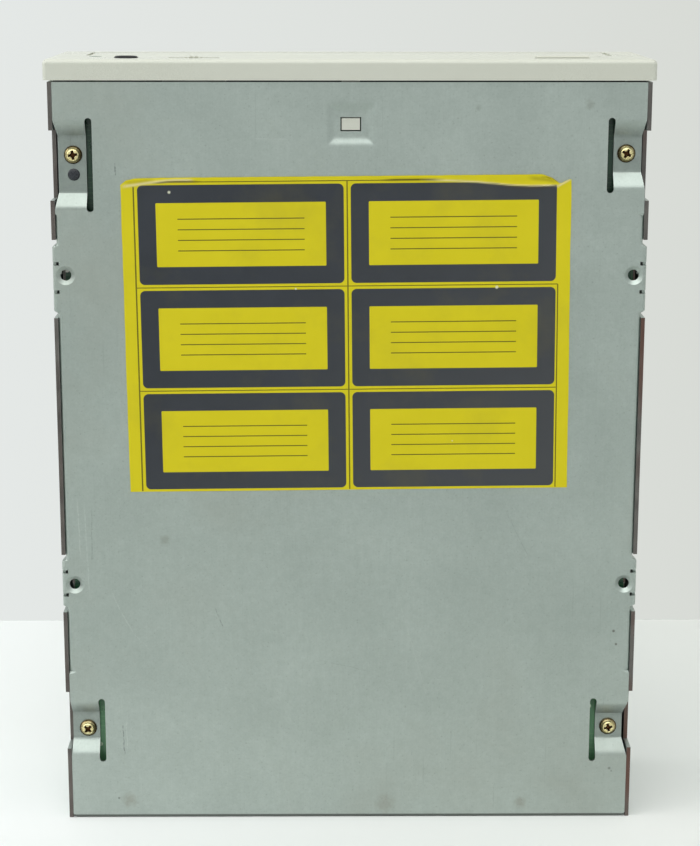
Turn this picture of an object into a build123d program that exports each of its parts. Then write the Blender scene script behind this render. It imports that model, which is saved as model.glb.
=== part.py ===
from build123d import *
import math
import os

# A 5.25-inch half-height CD-ROM drive that stands on its rear end.
# Frame in millimetres: +Z from the rear end to the front bezel, -Y towards the bottom plate,
# +Y towards the top cover, +X to the right when the bottom plate is looked at.
# The origin is at the middle of the rear end.

# Outer body
body_width = 146.0
body_height = 41.3
body_length = 190.0
cover_sheet = 1.0
plate_sheet = 0.8
sheet_gap = 0.1

# Mounting holes of the drive bay standard
mount_hole_radius = 1.35
mount_first_row_from_bezel = 47.4
mount_row_spacing = 79.25
mount_from_side = 3.15
mount_side_height = 10.0
mount_dimple_radius = 2.5
mount_dimple_depth = 0.25
mount_collar_wall = 0.6
mount_collar_length = 1.1

# Bezel
bezel_width = 148.0
bezel_height = 42.0
bezel_thickness = 5.0
bezel_wall = 2.2
bezel_edge_radius = 1.1
bezel_corner_radius = 1.0
plate_to_bezel_gap = 0.4

# Screws that hold plate, board and chassis together
frame_screw_radius = 1.3
frame_screw_head_radius = 2.2
frame_screw_head_height = 1.5
frame_screw_length = 8.0
screw_hole_clearance = 0.3
screw_pilot_clearance = 0.02
cross_slot_length = 2.6
cross_slot_width = 0.6
cross_slot_depth = 0.8
screw_from_side = 5.8
front_screw_from_bezel = 17.7
rear_screw_from_bezel = 165.25

# Recessed tabs of the bottom plate: slot start, slot end, flat start, flat end, all behind the bezel
tab_depth = 2.4
tab_slot_width = 1.5
tab_slot_from_side = 9.8
tab_left_front = (9.1, 31.8, 13.15, 26.9)
tab_right_front = (9.0, 27.1, 13.3, 21.9)
tab_left_rear = (157.5, 174.4, 161.0, 168.2)
tab_right_rear = (157.7, 174.6, 161.2, 168.4)
locating_pin_from_bezel = 22.6
locating_pin_radius = 1.45
locating_pin_clearance = 0.1

# Window for the bezel's snap in the bottom plate
window_left = 2.33
window_right = 2.69
window_front = 8.8
window_rear = 12.2
window_recess_depth = 1.0
window_recess_margin = 1.2
window_slope = 2.4
window_hook = 1.2
snap_clearance = 0.3
snap_thickness = 1.1

# Cover side walls: notches over the tabs and cut-outs over the mounting pads, behind the bezel
front_notch = (12.0, 29.0)
rear_notch = (155.5, 171.0)
front_cutout = (38.6, 58.0)
rear_cutout = (118.8, 134.0)
notch_height = 6.5
cutout_height = 17.0
pad_end_gap = 1.4
flange_height = 14.0
flange_end_from_bezel = 150.0

# Main circuit board
board_thickness = 1.6
board_side_gap = 0.9
board_rear = 2.5
board_front_gap = 3.0

# Plastic chassis that carries the tray and the mechanism
chassis_wall = 3.0
chassis_floor = 1.8
chassis_floor_above_board = 5.45
chassis_rear = 17.0
chassis_front_gap = 4.0
boss_radius = 3.2
rail_width = 3.8
rail_thickness = 1.2
rail_cap_width = 2.0
rail_cap_length = 12.0
rail_caps_from_bezel = (150.0, 94.0, 22.0)
running_gap = 0.3
bridge_peg_radius = 1.0
bridge_peg_spread = 9.0
lamp_holder_length = 5.0

# Tray
tray_from_side = 8.5
tray_length = 154.4
tray_above_board = 17.85
tray_floor = 2.0
tray_rim = 5.0
tray_travel = 125.0
disc_radius = 60.0
disc_recess_gap = 0.5
disc_centre_from_bezel = 70.0
small_disc_radius = 40.5
small_recess_depth = 0.8
tray_slot_half_width = 19.0
tray_panel_overlap = 0.8
tray_panel_below_tray = 3.2
tray_panel_above_tray = 4.2
tray_panel_gap = 0.4
tray_panel_rear_gap = 0.6
panel_edge_radius = 1.0
finger_notch_radius = 12.0
rack_height = 3.0
tray_wall = 3.0
rack_back = 2.5

# Loading gears and belt
gear_module = 0.8
tray_gear_teeth = 24
pinion_teeth = 12
gear_width = 5.0
gear_stud_radius = 1.5
shaft_clearance = 0.05
tooth_share = 0.40
tooth_tip_share = 0.20
tooth_root_share = 0.60
addendum_share = 0.9
dedendum_share = 1.2
loading_gears_from_bezel = 16.5
tray_gear_from_centre = 38.0
pulley_groove_radius = 10.0
pulley_flange_radius = 11.0
pulley_width = 3.4
motor_pulley_groove_radius = 2.6
motor_pulley_flange_radius = 3.6
belt_radius = 0.6
loading_motor_radius = 11.0
loading_motor_height = 5.0
loading_motor_from_centre = 14.0
motor_shaft_radius = 1.0

# Traverse: the tilting frame with spindle and pickup
traverse_half_width = 40.0
traverse_behind_spindle = 78.0
traverse_before_spindle = 34.0
traverse_height = 8.5
tray_above_traverse = 1.5
traverse_wall = 2.0
traverse_floor = 1.5
traverse_axis_from_rear = 4.0
traverse_axis_above_low = 4.0
traverse_pin_radius = 2.0
traverse_opening_gap = 1.2
traverse_drop = 5.0
ear_gap = 2.0
ear_thickness = 4.5
ear_half = 5.0
bush_wall = 1.35
cam_travel = 16.0
cam_pin_radius = 1.2
cam_pin_below_high = 1.7
cam_pin_x = 12.0
cam_thickness = 4.0
cam_half_length = 32.0
cam_slot_clearance = 0.25
cam_gap = 3.0
tray_above_cam = 0.8

# Spindle and clamp
spindle_motor_radius = 11.5
spindle_motor_height = 6.5
spindle_plate_thickness = 1.0
turntable_radius = 15.0
turntable_rubber_inner = 11.0
turntable_rubber_thickness = 0.6
disc_lift = 0.8
turntable_plate_thickness = 1.6
turntable_hub_radius = 6.0
cone_base_radius = 7.4
cone_top_radius = 6.0
cone_height = 2.2
disc_thickness = 1.2
clamper_radius = 14.0
clamper_plate = 1.2
clamper_neck_radius = 9.6
clamper_flange_radius = 12.0
clamper_flange = 1.0
magnet_radius = 7.0
magnet_height = 2.4
bridge_above_tray = 4.0
bridge_sheet = 1.2
bridge_half_length = 14.5
bridge_hole_gap = 0.4

# Pickup sled and its drive
rod_radius = 1.5
rod_x = 17.0
rod_above_floor = 3.1
rod_end_behind_spindle = 2.0
sled_length = 23.5
sled_front_before_lens = 11.5
sled_left = 21.0
sled_right = 23.0
sled_height = 6.2
sled_travel = 34.0
lens_from_spindle = 24.0
lens_radius = 2.6
lens_holder_half = 4.6
lens_holder_height = 2.1
lens_focus_gap = 0.9
sled_module = 0.5
sled_gear_teeth = 26
sled_pinion_teeth = 9
sled_gear_width = 2.2
sled_gear_above_floor = 3.5
sled_rack_from_side = 3.0
sled_motor_radius = 5.8
sled_stud_radius = 1.0
sled_shaft_radius = 0.75
sled_rack_spare = 2.0
sled_rack_back = 2.5
pickup_window_half = 14.0
pickup_window_gap = 5.0
rod_post_half = 2.5
rod_post_above = 2.0

# Controls on the bezel
control_above_board = 2.65
jack_from_side = 18.5
jack_bore_radius = 1.78
jack_collar_radius = 2.6
jack_bezel_hole_radius = 3.1
jack_length = 13.0
jack_bore_depth = 15.0
jack_half_width = 4.5
jack_setback = 0.8
pot_radius = 4.2
pot_tail = 4.0
wheel_from_side = 35.0
wheel_radius = 8.0
wheel_thickness = 2.4
wheel_proud = 0.4
wheel_ridges = 36
wheel_ridge_depth = 0.3
button_from_side = 21.2
button_width = 12.8
button_height = 4.0
button_proud = 0.6
button_gap = 0.25
button_travel = 1.2
button_flange = 0.8
button_flange_thickness = 1.5
switch_width = 12.0
switch_above = 1.8
switch_depth = 6.0
plunger_bore = 5.0
plunger_radius = 1.0
plunger_clearance = 0.15
plunger_end_gap = 0.4
lamp_from_side = 10.4
lamp_above_board = 8.45
lamp_radius = 1.5
lamp_setback = 0.5
pinhole_from_side = 11.4
pinhole_radius = 0.6

# Connectors on the rear edge of the board
connector_rear = 0.8
connector_length = 12.0
connector_height = 9.4
connector_wall = 1.1
connector_depth = 8.0
data_x = -8.0
data_length = 58.4
data_pin_columns = 20
data_pitch = 2.54
data_pin_side = 0.64
power_from_side = 18.0
power_width = 22.6
power_pitch = 5.08
power_pin_radius = 1.05
audio_from_side = 22.0
audio_width = 12.6
audio_pin_count = 4
jumper_from_audio = 18.0
jumper_columns = 3
jumper_base_height = 5.2
jumper_base_length = 3.0
jumper_cap_length = 6.0
small_connector_height = 6.2
key_depth = 4.0
data_key_width = 4.5
audio_key_width = 2.5
pin_setback = 0.8

# Parts on the board: x, distance behind the bezel, width and depth of each chip
chip_height = 2.0
chip_places = (
    (-24.0, 112.0, 28.0, 28.0),
    (22.0, 98.0, 20.0, 14.0),
    (20.0, 130.0, 24.0, 12.0),
    (-26.0, 62.0, 16.0, 10.0),
)
# Capacitors: side, distance from the body's side and distance behind the bezel
capacitor_radius = 3.0
capacitor_height = 5.0
capacitor_from_side = 19.0
capacitor_places = ((1, 158.0), (1, 148.0), (-1, 98.0), (1, 82.0))
tray_switch_x = 36.0
tray_switch_width = 8.0
tray_switch_height = 5.0

# Label on the bottom plate, behind the bezel
label_left = 55.6
label_right = 54.3
label_front_from_bezel = 23.7
label_rear_from_bezel = 102.2
label_thickness = 0.12

# Values worked out from the ones above
half_width = body_width / 2
half_height = body_height / 2
plate_outer = -half_height
plate_inner = plate_outer + plate_sheet
plate_half_width = half_width - cover_sheet - sheet_gap
mount_x = half_width - mount_from_side
mount_rows = [
    body_length - mount_first_row_from_bezel,
    body_length - mount_first_row_from_bezel - mount_row_spacing,
]
screw_x = half_width - screw_from_side
screw_rows = [body_length - front_screw_from_bezel, body_length - rear_screw_from_bezel]
tab_outer = plate_outer + tab_depth
tab_inner = tab_outer + plate_sheet
board_outer = tab_inner
board_inner = board_outer + board_thickness
board_half_width = plate_half_width - plate_sheet - board_side_gap
board_front = body_length - board_front_gap
bezel_front = body_length + bezel_thickness
bezel_wall_rear = bezel_front - bezel_wall

# Chassis and tray
chassis_floor_low = board_inner + chassis_floor_above_board
chassis_floor_high = chassis_floor_low + chassis_floor
chassis_front = body_length - chassis_front_gap
tray_half_width = half_width - tray_from_side
tray_underside = board_inner + tray_above_board
tray_floor_top = tray_underside + tray_floor
tray_top = tray_floor_top + tray_rim
tray_front = body_length - tray_panel_rear_gap
tray_rear = tray_front - tray_length
tray_panel_half_width = tray_half_width + tray_panel_overlap
tray_panel_low = tray_underside - tray_panel_below_tray
tray_panel_high = tray_top + tray_panel_above_tray
chassis_inner = tray_half_width + running_gap
chassis_outer = chassis_inner + chassis_wall
spindle_z = body_length - disc_centre_from_bezel

# Loading gears
loading_z = body_length - loading_gears_from_bezel
tray_gear_radius = gear_module * tray_gear_teeth / 2
pinion_radius = gear_module * pinion_teeth / 2
tray_rack_x = -tray_gear_from_centre - tray_gear_radius
pinion_x = -tray_gear_from_centre + tray_gear_radius + pinion_radius
gear_low = tray_underside - running_gap - gear_width
pulley_low = chassis_floor_high + running_gap
belt_y = pulley_low + pulley_width / 2

# Traverse and its cam
traverse_high = tray_underside - tray_above_traverse
traverse_low = traverse_high - traverse_height
traverse_floor_top = traverse_low + traverse_floor
traverse_rear = spindle_z - traverse_behind_spindle
traverse_front = spindle_z + traverse_before_spindle
traverse_axis_z = traverse_rear + traverse_axis_from_rear
traverse_axis_y = traverse_low + traverse_axis_above_low
ear_inner = traverse_half_width + ear_gap
bush_radius = traverse_pin_radius + shaft_clearance + bush_wall
cam_rear = traverse_front + cam_gap
cam_low = chassis_floor_high + running_gap / 2
cam_high = tray_underside - tray_above_cam
cam_pin_y = traverse_high - cam_pin_below_high

# Spindle and clamp
spindle_motor_high = traverse_low + spindle_motor_height
turntable_seat_y = tray_floor_top + disc_lift
bridge_low = tray_top + bridge_above_tray
bridge_high = bridge_low + bridge_sheet
clamper_low = turntable_seat_y + disc_thickness + running_gap

# Pickup sled and its drive
rod_y = traverse_floor_top + rod_above_floor
rod_front = spindle_z - rod_end_behind_spindle
lens_z = spindle_z - lens_from_spindle
sled_front = lens_z + sled_front_before_lens
sled_rear = sled_front - sled_length
sled_low = traverse_floor_top + running_gap
sled_high = sled_low + sled_height
sled_gear_z = sled_rear
sled_gear_low = traverse_floor_top + sled_gear_above_floor
sled_gear_radius = sled_module * sled_gear_teeth / 2
sled_pinion_radius = sled_module * sled_pinion_teeth / 2
sled_rack_x = -sled_left - sled_rack_from_side
sled_rack_start = sled_gear_z - sled_rack_spare
sled_rack_end = sled_gear_z + sled_travel + sled_rack_spare
sled_gear_x = sled_rack_x - sled_gear_radius
sled_pinion_z = sled_gear_z - sled_gear_radius - sled_pinion_radius
sled_motor_high = sled_gear_low - running_gap

# Controls
control_y = board_inner + control_above_board
jack_x = -half_width + jack_from_side
wheel_x = -half_width + wheel_from_side
wheel_z = bezel_front + wheel_proud - wheel_radius
wheel_low = control_y - wheel_thickness / 2
wheel_slot_half = math.sqrt(wheel_radius**2 - (bezel_wall_rear - wheel_z) ** 2) + running_gap
button_x = half_width - button_from_side
button_flange_rear = bezel_wall_rear - running_gap - button_flange_thickness
lamp_x = -half_width + lamp_from_side
lamp_y = board_inner + lamp_above_board
lamp_holder_rear = board_front - lamp_holder_length
pinhole_x = half_width - pinhole_from_side
pinhole_y = lamp_y

# Connectors
connector_front = connector_rear + connector_length
power_x = -half_width + power_from_side
audio_x = half_width - audio_from_side
jumper_x = audio_x - jumper_from_audio


def block(x, y, z):
    """A box between pairs of x, y and z."""
    size = (x[1] - x[0], y[1] - y[0], z[1] - z[0])
    return Pos(x[0], y[0], z[0]) * Box(*size, align=(Align.MIN, Align.MIN, Align.MIN))


def rod_along_z(x, y, z, radius):
    """A round bar along Z between the pair z."""
    bar = Cylinder(radius, z[1] - z[0], align=(Align.CENTER, Align.CENTER, Align.MIN))
    return Pos(x, y, z[0]) * bar


def rod_along_y(x, z, y, radius):
    """A round bar along Y between the pair y."""
    bar = Cylinder(radius, y[1] - y[0], align=(Align.CENTER, Align.CENTER, Align.MIN))
    return Pos(x, y[0], z) * Rot(-90, 0, 0) * bar


def rod_along_x(y, z, x, radius):
    """A round bar along X between the pair x."""
    bar = Cylinder(radius, x[1] - x[0], align=(Align.CENTER, Align.CENTER, Align.MIN))
    return Pos(x[0], y, z) * Rot(0, 90, 0) * bar


def slab(points, y):
    """A plate whose outline is given as x and z, between the pair y."""
    outline = Polyline(*[(px, y[0], pz) for px, pz in points], close=True)
    return extrude(make_face(outline), amount=y[1] - y[0], dir=(0, 1, 0))


def strip(points, x):
    """A bar whose section is given as y and z, between the pair x."""
    outline = Polyline(*[(x[0], py, pz) for py, pz in points], close=True)
    return extrude(make_face(outline), amount=x[1] - x[0], dir=(1, 0, 0))


def join(pieces):
    """One body from several that touch."""
    whole = pieces[0]
    for piece in pieces[1:]:
        whole = whole + piece
    return whole


def cut(body, tools):
    """The body without the given tools."""
    for tool in tools:
        body = body - tool
    return body


def behind(distance):
    """Height of a point that lies a distance behind the bezel."""
    return body_length - distance


def gear_teeth(module, teeth, first_angle):
    """Outline of a spur gear about the origin, with a tooth at the first angle in degrees."""
    pitch = module * teeth / 2
    radii = [
        (pitch - dedendum_share * module, -tooth_root_share),
        (pitch, -tooth_share),
        (pitch + addendum_share * module, -tooth_tip_share),
        (pitch + addendum_share * module, tooth_tip_share),
        (pitch, tooth_share),
        (pitch - dedendum_share * module, tooth_root_share),
    ]
    points = []
    for tooth in range(teeth):
        middle = math.radians(first_angle) + 2 * math.pi * tooth / teeth
        for radius, share in radii:
            angle = middle + share * math.pi / teeth
            points.append((radius * math.cos(angle), radius * math.sin(angle)))
    return points


def gear(module, teeth, first_angle, x, z, y):
    """A spur gear that turns about Y."""
    outline = [(x + px, z + pz) for px, pz in gear_teeth(module, teeth, first_angle)]
    return slab(outline, y)


def rack(module, x, side, middle_gap_z, z, y, back):
    """A toothed bar along Z: its teeth point to the given side of X, with a gap at one height."""
    pitch = math.pi * module
    tip = x + side * addendum_share * module
    root = x - side * dedendum_share * module
    bar = block(sorted([root, root - side * back]), y, z)
    first = math.ceil((z[0] - middle_gap_z) / pitch - 0.5 + tooth_root_share / 2)
    last = math.floor((z[1] - middle_gap_z) / pitch - 0.5 - tooth_root_share / 2)
    teeth = []
    for index in range(first, last + 1):
        centre = middle_gap_z + (index + 0.5) * pitch
        teeth.append(slab([
            (root, centre - tooth_root_share * pitch / 2),
            (x, centre - tooth_share * pitch / 2),
            (tip, centre - tooth_tip_share * pitch / 2),
            (tip, centre + tooth_tip_share * pitch / 2),
            (x, centre + tooth_share * pitch / 2),
            (root, centre + tooth_root_share * pitch / 2),
        ], y))
    return join([bar] + teeth)


def cross_slots(centre):
    """The two crossed slots of a cross-head screw whose axis is along Y."""
    across = Box(cross_slot_length, cross_slot_depth, cross_slot_width)
    along = Box(cross_slot_width, cross_slot_depth, cross_slot_length)
    return Pos(*centre) * (across + along)


def screw_along_y(x, z, seat_y, direction, length):
    """A pan-head screw: its head lies against the seat and its shank runs in the given direction of Y."""
    head = sorted([seat_y, seat_y - direction * frame_screw_head_height])
    shank = sorted([seat_y, seat_y + direction * length])
    whole = rod_along_y(x, z, head, frame_screw_head_radius) + rod_along_y(x, z, shank, frame_screw_radius)
    crown = whole.edges().filter_by(GeomType.CIRCLE).sort_by(Axis.Y, reverse=direction < 0)[0]
    whole = fillet(crown, frame_screw_head_height * 0.45)
    top = seat_y - direction * (frame_screw_head_height - cross_slot_depth / 2)
    return whole - cross_slots((x, top, z))


def tab_places():
    """Side and distances behind the bezel of each recessed tab of the bottom plate."""
    return [(-1, tab_left_front), (1, tab_right_front), (-1, tab_left_rear), (1, tab_right_rear)]


def window_hollow():
    """The pyramid-shaped hollow round the window of the bezel's snap, seen from outside."""
    flat = (
        -window_left - window_recess_margin,
        window_right + window_recess_margin,
        behind(window_rear + window_recess_margin),
        behind(window_front - window_recess_margin),
    )
    faces = []
    for grow, y in ((window_slope, plate_outer), (0, plate_outer + window_recess_depth)):
        corners = [
            (flat[0] - grow, y, flat[2] - grow),
            (flat[1] + grow, y, flat[2] - grow),
            (flat[1] + grow, y, flat[3] + grow),
            (flat[0] - grow, y, flat[3] + grow),
        ]
        faces.append(make_face(Polyline(*corners, close=True)))
    return loft(faces)


def tab(side, distances):
    """One recessed strip between a slot and the plate's edge, with a ramp at each end."""
    start, end, flat_start, flat_end = [behind(distance) for distance in distances]
    inner_edge = side * (half_width - tab_slot_from_side + tab_slot_width / 2)
    profile = [
        (plate_outer, start),
        (tab_outer, flat_start),
        (tab_outer, flat_end),
        (plate_outer, end),
        (plate_inner, end),
        (tab_inner, flat_end),
        (tab_inner, flat_start),
        (plate_inner, start),
    ]
    return strip(profile, sorted([inner_edge, side * plate_half_width]))


def side_flange(side):
    """The plate's upright edge, with two pads that stand out for the side mounting holes."""
    inner = plate_half_width - plate_sheet
    sheet_x = sorted([side * inner, side * plate_half_width])
    upright = (plate_outer, plate_outer + flange_height)
    flange = block(sheet_x, upright, (behind(flange_end_from_bezel), behind(tab_left_front[1] + 1)))
    for row, cutout in zip(mount_rows, (front_cutout, rear_cutout)):
        low, high = behind(cutout[1] - pad_end_gap), behind(cutout[0] + pad_end_gap)
        flange = flange - block(sheet_x, (plate_inner, upright[1]), (low, high))
        pad_x = sorted([side * (half_width - plate_sheet), side * half_width])
        reach = sorted([side * inner, side * half_width])
        flange = join([
            flange,
            block(pad_x, upright, (low, high)),
            block(reach, upright, (low, low + plate_sheet)),
            block(reach, upright, (high - plate_sheet, high)),
            block(reach, (plate_outer, plate_inner), (low, high)),
        ])
        hole_x = sorted([side * inner, side * (half_width + 1)])
        flange = flange - rod_along_x(plate_outer + mount_side_height, row, hole_x, mount_hole_radius)
    return flange


def make_bottom_plate():
    """Zinc-plated sheet: flat plate, side flanges, recessed screw tabs, snap window, tapped holes."""
    rear = sheet_gap * 3
    plate = block(
        (-plate_half_width, plate_half_width),
        (plate_outer, plate_inner),
        (rear, body_length - plate_to_bezel_gap),
    )
    plate = join([plate, side_flange(-1), side_flange(1)])
    for side, distances in tab_places():
        slot_inner = side * (half_width - tab_slot_from_side - tab_slot_width / 2)
        room = block(
            sorted([slot_inner, side * (plate_half_width + 1)]),
            (plate_outer - 1, plate_inner + 1),
            (behind(distances[1]), behind(distances[0])),
        )
        plate = plate - room + tab(side, distances)
        row = screw_rows[0] if distances[0] < body_length / 2 else screw_rows[1]
        through = (tab_outer - 1, tab_inner + 1)
        plate = plate - rod_along_y(side * screw_x, row, through, frame_screw_radius + screw_hole_clearance)
    pin_y = (tab_outer - 1, tab_inner + 1)
    pin_hole = locating_pin_radius + locating_pin_clearance
    plate = plate - rod_along_y(-screw_x, behind(locating_pin_from_bezel), pin_y, pin_hole)
    for side in (-1, 1):
        for row in mount_rows:
            x = side * mount_x
            collar = (plate_inner - plate_sheet / 2, plate_inner + mount_collar_length)
            plate = plate + rod_along_y(x, row, collar, mount_hole_radius + mount_collar_wall)
            plate = plate - rod_along_y(
                x, row, (plate_outer - 1, plate_outer + mount_dimple_depth), mount_dimple_radius
            )
            plate = plate - rod_along_y(x, row, (plate_outer - 1, plate_inner + 2), mount_hole_radius)
    hollow = window_hollow()
    plate = plate + Pos(0, plate_sheet, 0) * hollow - hollow
    window = block(
        (-window_left, window_right),
        (plate_outer, plate_inner + 2),
        (behind(window_rear), behind(window_front)),
    )
    return plate - window


def cover_side(side):
    """A side wall of the cover, notched over the tabs and cut out over the mounting pads."""
    wall_x = sorted([side * (half_width - cover_sheet), side * half_width])
    wall = block(wall_x, (plate_outer, half_height), (0, body_length - plate_to_bezel_gap))
    openings = [
        (front_notch, notch_height),
        (rear_notch, notch_height),
        (front_cutout, cutout_height),
        (rear_cutout, cutout_height),
    ]
    for (start, end), height in openings:
        wall = wall - block(
            sorted([wall_x[0] - 1, wall_x[1] + 1]),
            (plate_outer - 1, plate_outer + height),
            (behind(end), behind(start)),
        )
    return wall


def make_top_cover():
    """U-shaped sheet steel cover with a rear wall above the connectors."""
    top = block(
        (-half_width, half_width),
        (half_height - cover_sheet, half_height),
        (0, body_length - plate_to_bezel_gap),
    )
    rear_low = board_inner + connector_height + 0.6
    rear = block((-half_width, half_width), (rear_low, half_height), (0, cover_sheet))
    cover = join([top, cover_side(-1), cover_side(1), rear])
    corners = cover.edges().filter_by(Axis.Z).group_by(Axis.Y)[-1]
    return fillet(corners, cover_sheet * 0.8)


def make_main_board():
    """The printed circuit board that lies between the plate's tabs and the chassis."""
    width = (-board_half_width, board_half_width)
    board = block(width, (board_outer, board_inner), (board_rear, board_front))
    through = (board_outer - 1, board_inner + 1)
    screw_hole = frame_screw_radius + screw_hole_clearance
    for side in (-1, 1):
        for row in screw_rows:
            board = board - rod_along_y(side * screw_x, row, through, screw_hole)
    pin_hole = locating_pin_radius + locating_pin_clearance
    return board - rod_along_y(-screw_x, behind(locating_pin_from_bezel), through, pin_hole)


def make_frame_screws():
    """Four pan-head screws through the plate's tabs into the chassis."""
    screws = []
    for side in (-1, 1):
        for row in screw_rows:
            screws.append(screw_along_y(side * screw_x, row, tab_outer, 1, frame_screw_length))
    return Compound(children=screws)


def make_chassis():
    """Moulded chassis: floor, side walls with tray rails, screw bosses, hinge ears and gear studs."""
    floor_y = (chassis_floor_low, chassis_floor_high)
    floor = block((-chassis_outer, chassis_outer), floor_y, (chassis_rear, chassis_front))
    opening_half = traverse_half_width + traverse_opening_gap
    floor = floor - block(
        (-opening_half, opening_half), (floor_y[0] - 1, floor_y[1] + 1),
        (traverse_rear - traverse_opening_gap, cam_rear - running_gap),
    )
    parts = [floor]
    for side in (-1, 1):
        wall_x = sorted([side * chassis_inner, side * chassis_outer])
        parts.append(block(wall_x, (chassis_floor_low, bridge_low), (chassis_rear, chassis_front)))
        wall_middle = side * (chassis_outer - chassis_wall / 2)
        rail_x = sorted([wall_middle, side * (tray_half_width - rail_width)])
        low_rail = (tray_underside - running_gap - rail_thickness, tray_underside - running_gap)
        parts.append(block(rail_x, low_rail, (chassis_rear, chassis_front)))
        high_x = sorted([wall_middle, side * (tray_half_width - rail_cap_width)])
        high_rail = (tray_top + running_gap, tray_top + running_gap + rail_thickness)
        for distance in rail_caps_from_bezel:
            cap_z = (behind(distance), behind(distance) + rail_cap_length)
            parts.append(block(high_x, high_rail, cap_z))
        for row in screw_rows:
            parts.append(rod_along_y(side * screw_x, row, (board_inner, chassis_floor_high), boss_radius))
        ear_x = sorted([side * ear_inner, side * (ear_inner + ear_thickness)])
        ear_z = (traverse_axis_z - ear_half, traverse_axis_z + ear_half)
        parts.append(block(ear_x, (chassis_floor_low, traverse_axis_y + ear_half), ear_z))
        for z in (spindle_z - bridge_peg_spread, spindle_z + bridge_peg_spread):
            peg_y = (bridge_low - 1, bridge_high + bridge_sheet)
            parts.append(rod_along_y(side * (chassis_inner + chassis_wall / 2), z, peg_y, bridge_peg_radius))
    stud_tops = [(-tray_gear_from_centre, gear_low + gear_width), (pinion_x, gear_low + gear_width)]
    for x, top in stud_tops:
        parts.append(rod_along_y(x, loading_z, (chassis_floor_low, top), gear_stud_radius))
    chassis = join(parts)
    holes = []
    for side in (-1, 1):
        for row in screw_rows:
            depth = (board_inner - 1, tab_outer + frame_screw_length + 0.5)
            holes.append(rod_along_y(side * screw_x, row, depth, frame_screw_radius + screw_pilot_clearance))
        bush_x = sorted([side * (ear_inner - 1), side * (ear_inner + ear_thickness + 1)])
        holes.append(rod_along_x(traverse_axis_y, traverse_axis_z, bush_x, bush_radius))
    shaft_hole = (floor_y[0] - 1, floor_y[1] + 1)
    holes.append(rod_along_y(loading_motor_from_centre, loading_z, shaft_hole, motor_shaft_radius * 2))
    lamp_room = block(
        (-chassis_outer - 1, lamp_x + lamp_radius + 1.0),
        (floor_y[0] - 1, floor_y[1] + 1),
        (lamp_holder_rear - 1, chassis_front + 1),
    )
    holes.append(lamp_room)
    chassis = cut(chassis, holes)
    pin_y = (tab_outer, chassis_floor_low)
    pin = rod_along_y(-screw_x, behind(locating_pin_from_bezel), pin_y, locating_pin_radius)
    return chassis + pin


def make_traverse_bushes():
    """Rubber bushes that carry the traverse's pins in the chassis ears."""
    bushes = []
    for side in (-1, 1):
        x = sorted([side * ear_inner, side * (ear_inner + ear_thickness)])
        ring = rod_along_x(traverse_axis_y, traverse_axis_z, x, bush_radius)
        inner = rod_along_x(traverse_axis_y, traverse_axis_z, x, traverse_pin_radius + shaft_clearance)
        bushes.append(ring - inner)
    return Compound(children=bushes)


def make_tray():
    """Moulded tray: floor with disc recesses, rim, slot for the spindle, rack underneath."""
    tray = block((-tray_half_width, tray_half_width), (tray_underside, tray_top), (tray_rear, tray_front))
    recess = rod_along_y(0, spindle_z, (tray_floor_top, tray_top + 1), disc_radius + disc_recess_gap)
    small = rod_along_y(0, spindle_z, (tray_floor_top - small_recess_depth, tray_top), small_disc_radius)
    slot_y = (tray_underside - 1, tray_top + 1)
    slot = join([
        rod_along_y(0, spindle_z, slot_y, tray_slot_half_width),
        block((-tray_slot_half_width, tray_slot_half_width), slot_y, (tray_rear - 1, spindle_z)),
    ])
    hollows = [recess, small, slot]
    finger = rod_along_y(0, spindle_z + disc_radius, (tray_floor_top, tray_top + 1), finger_notch_radius)
    front_wall = block(
        (-tray_half_width, tray_half_width),
        (tray_underside, tray_top + 1),
        (tray_front - tray_wall, tray_front),
    )
    hollows.append(finger - front_wall)
    tray = cut(tray, hollows)
    rack_z = (loading_z - tray_travel - tray_gear_radius, tray_front - tray_wall)
    rack_y = (tray_underside - rack_height, tray_underside + 0.2)
    teeth = rack(gear_module, tray_rack_x, 1, loading_z, rack_z, rack_y, rack_back)
    return tray + teeth


def make_tray_front():
    """The bezel's own panel on the tray's front."""
    panel = block(
        (-tray_panel_half_width, tray_panel_half_width),
        (tray_panel_low, tray_panel_high),
        (tray_front, bezel_front),
    )
    edges = panel.faces().sort_by(Axis.Z)[-1].edges()
    return fillet(edges, panel_edge_radius)


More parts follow.
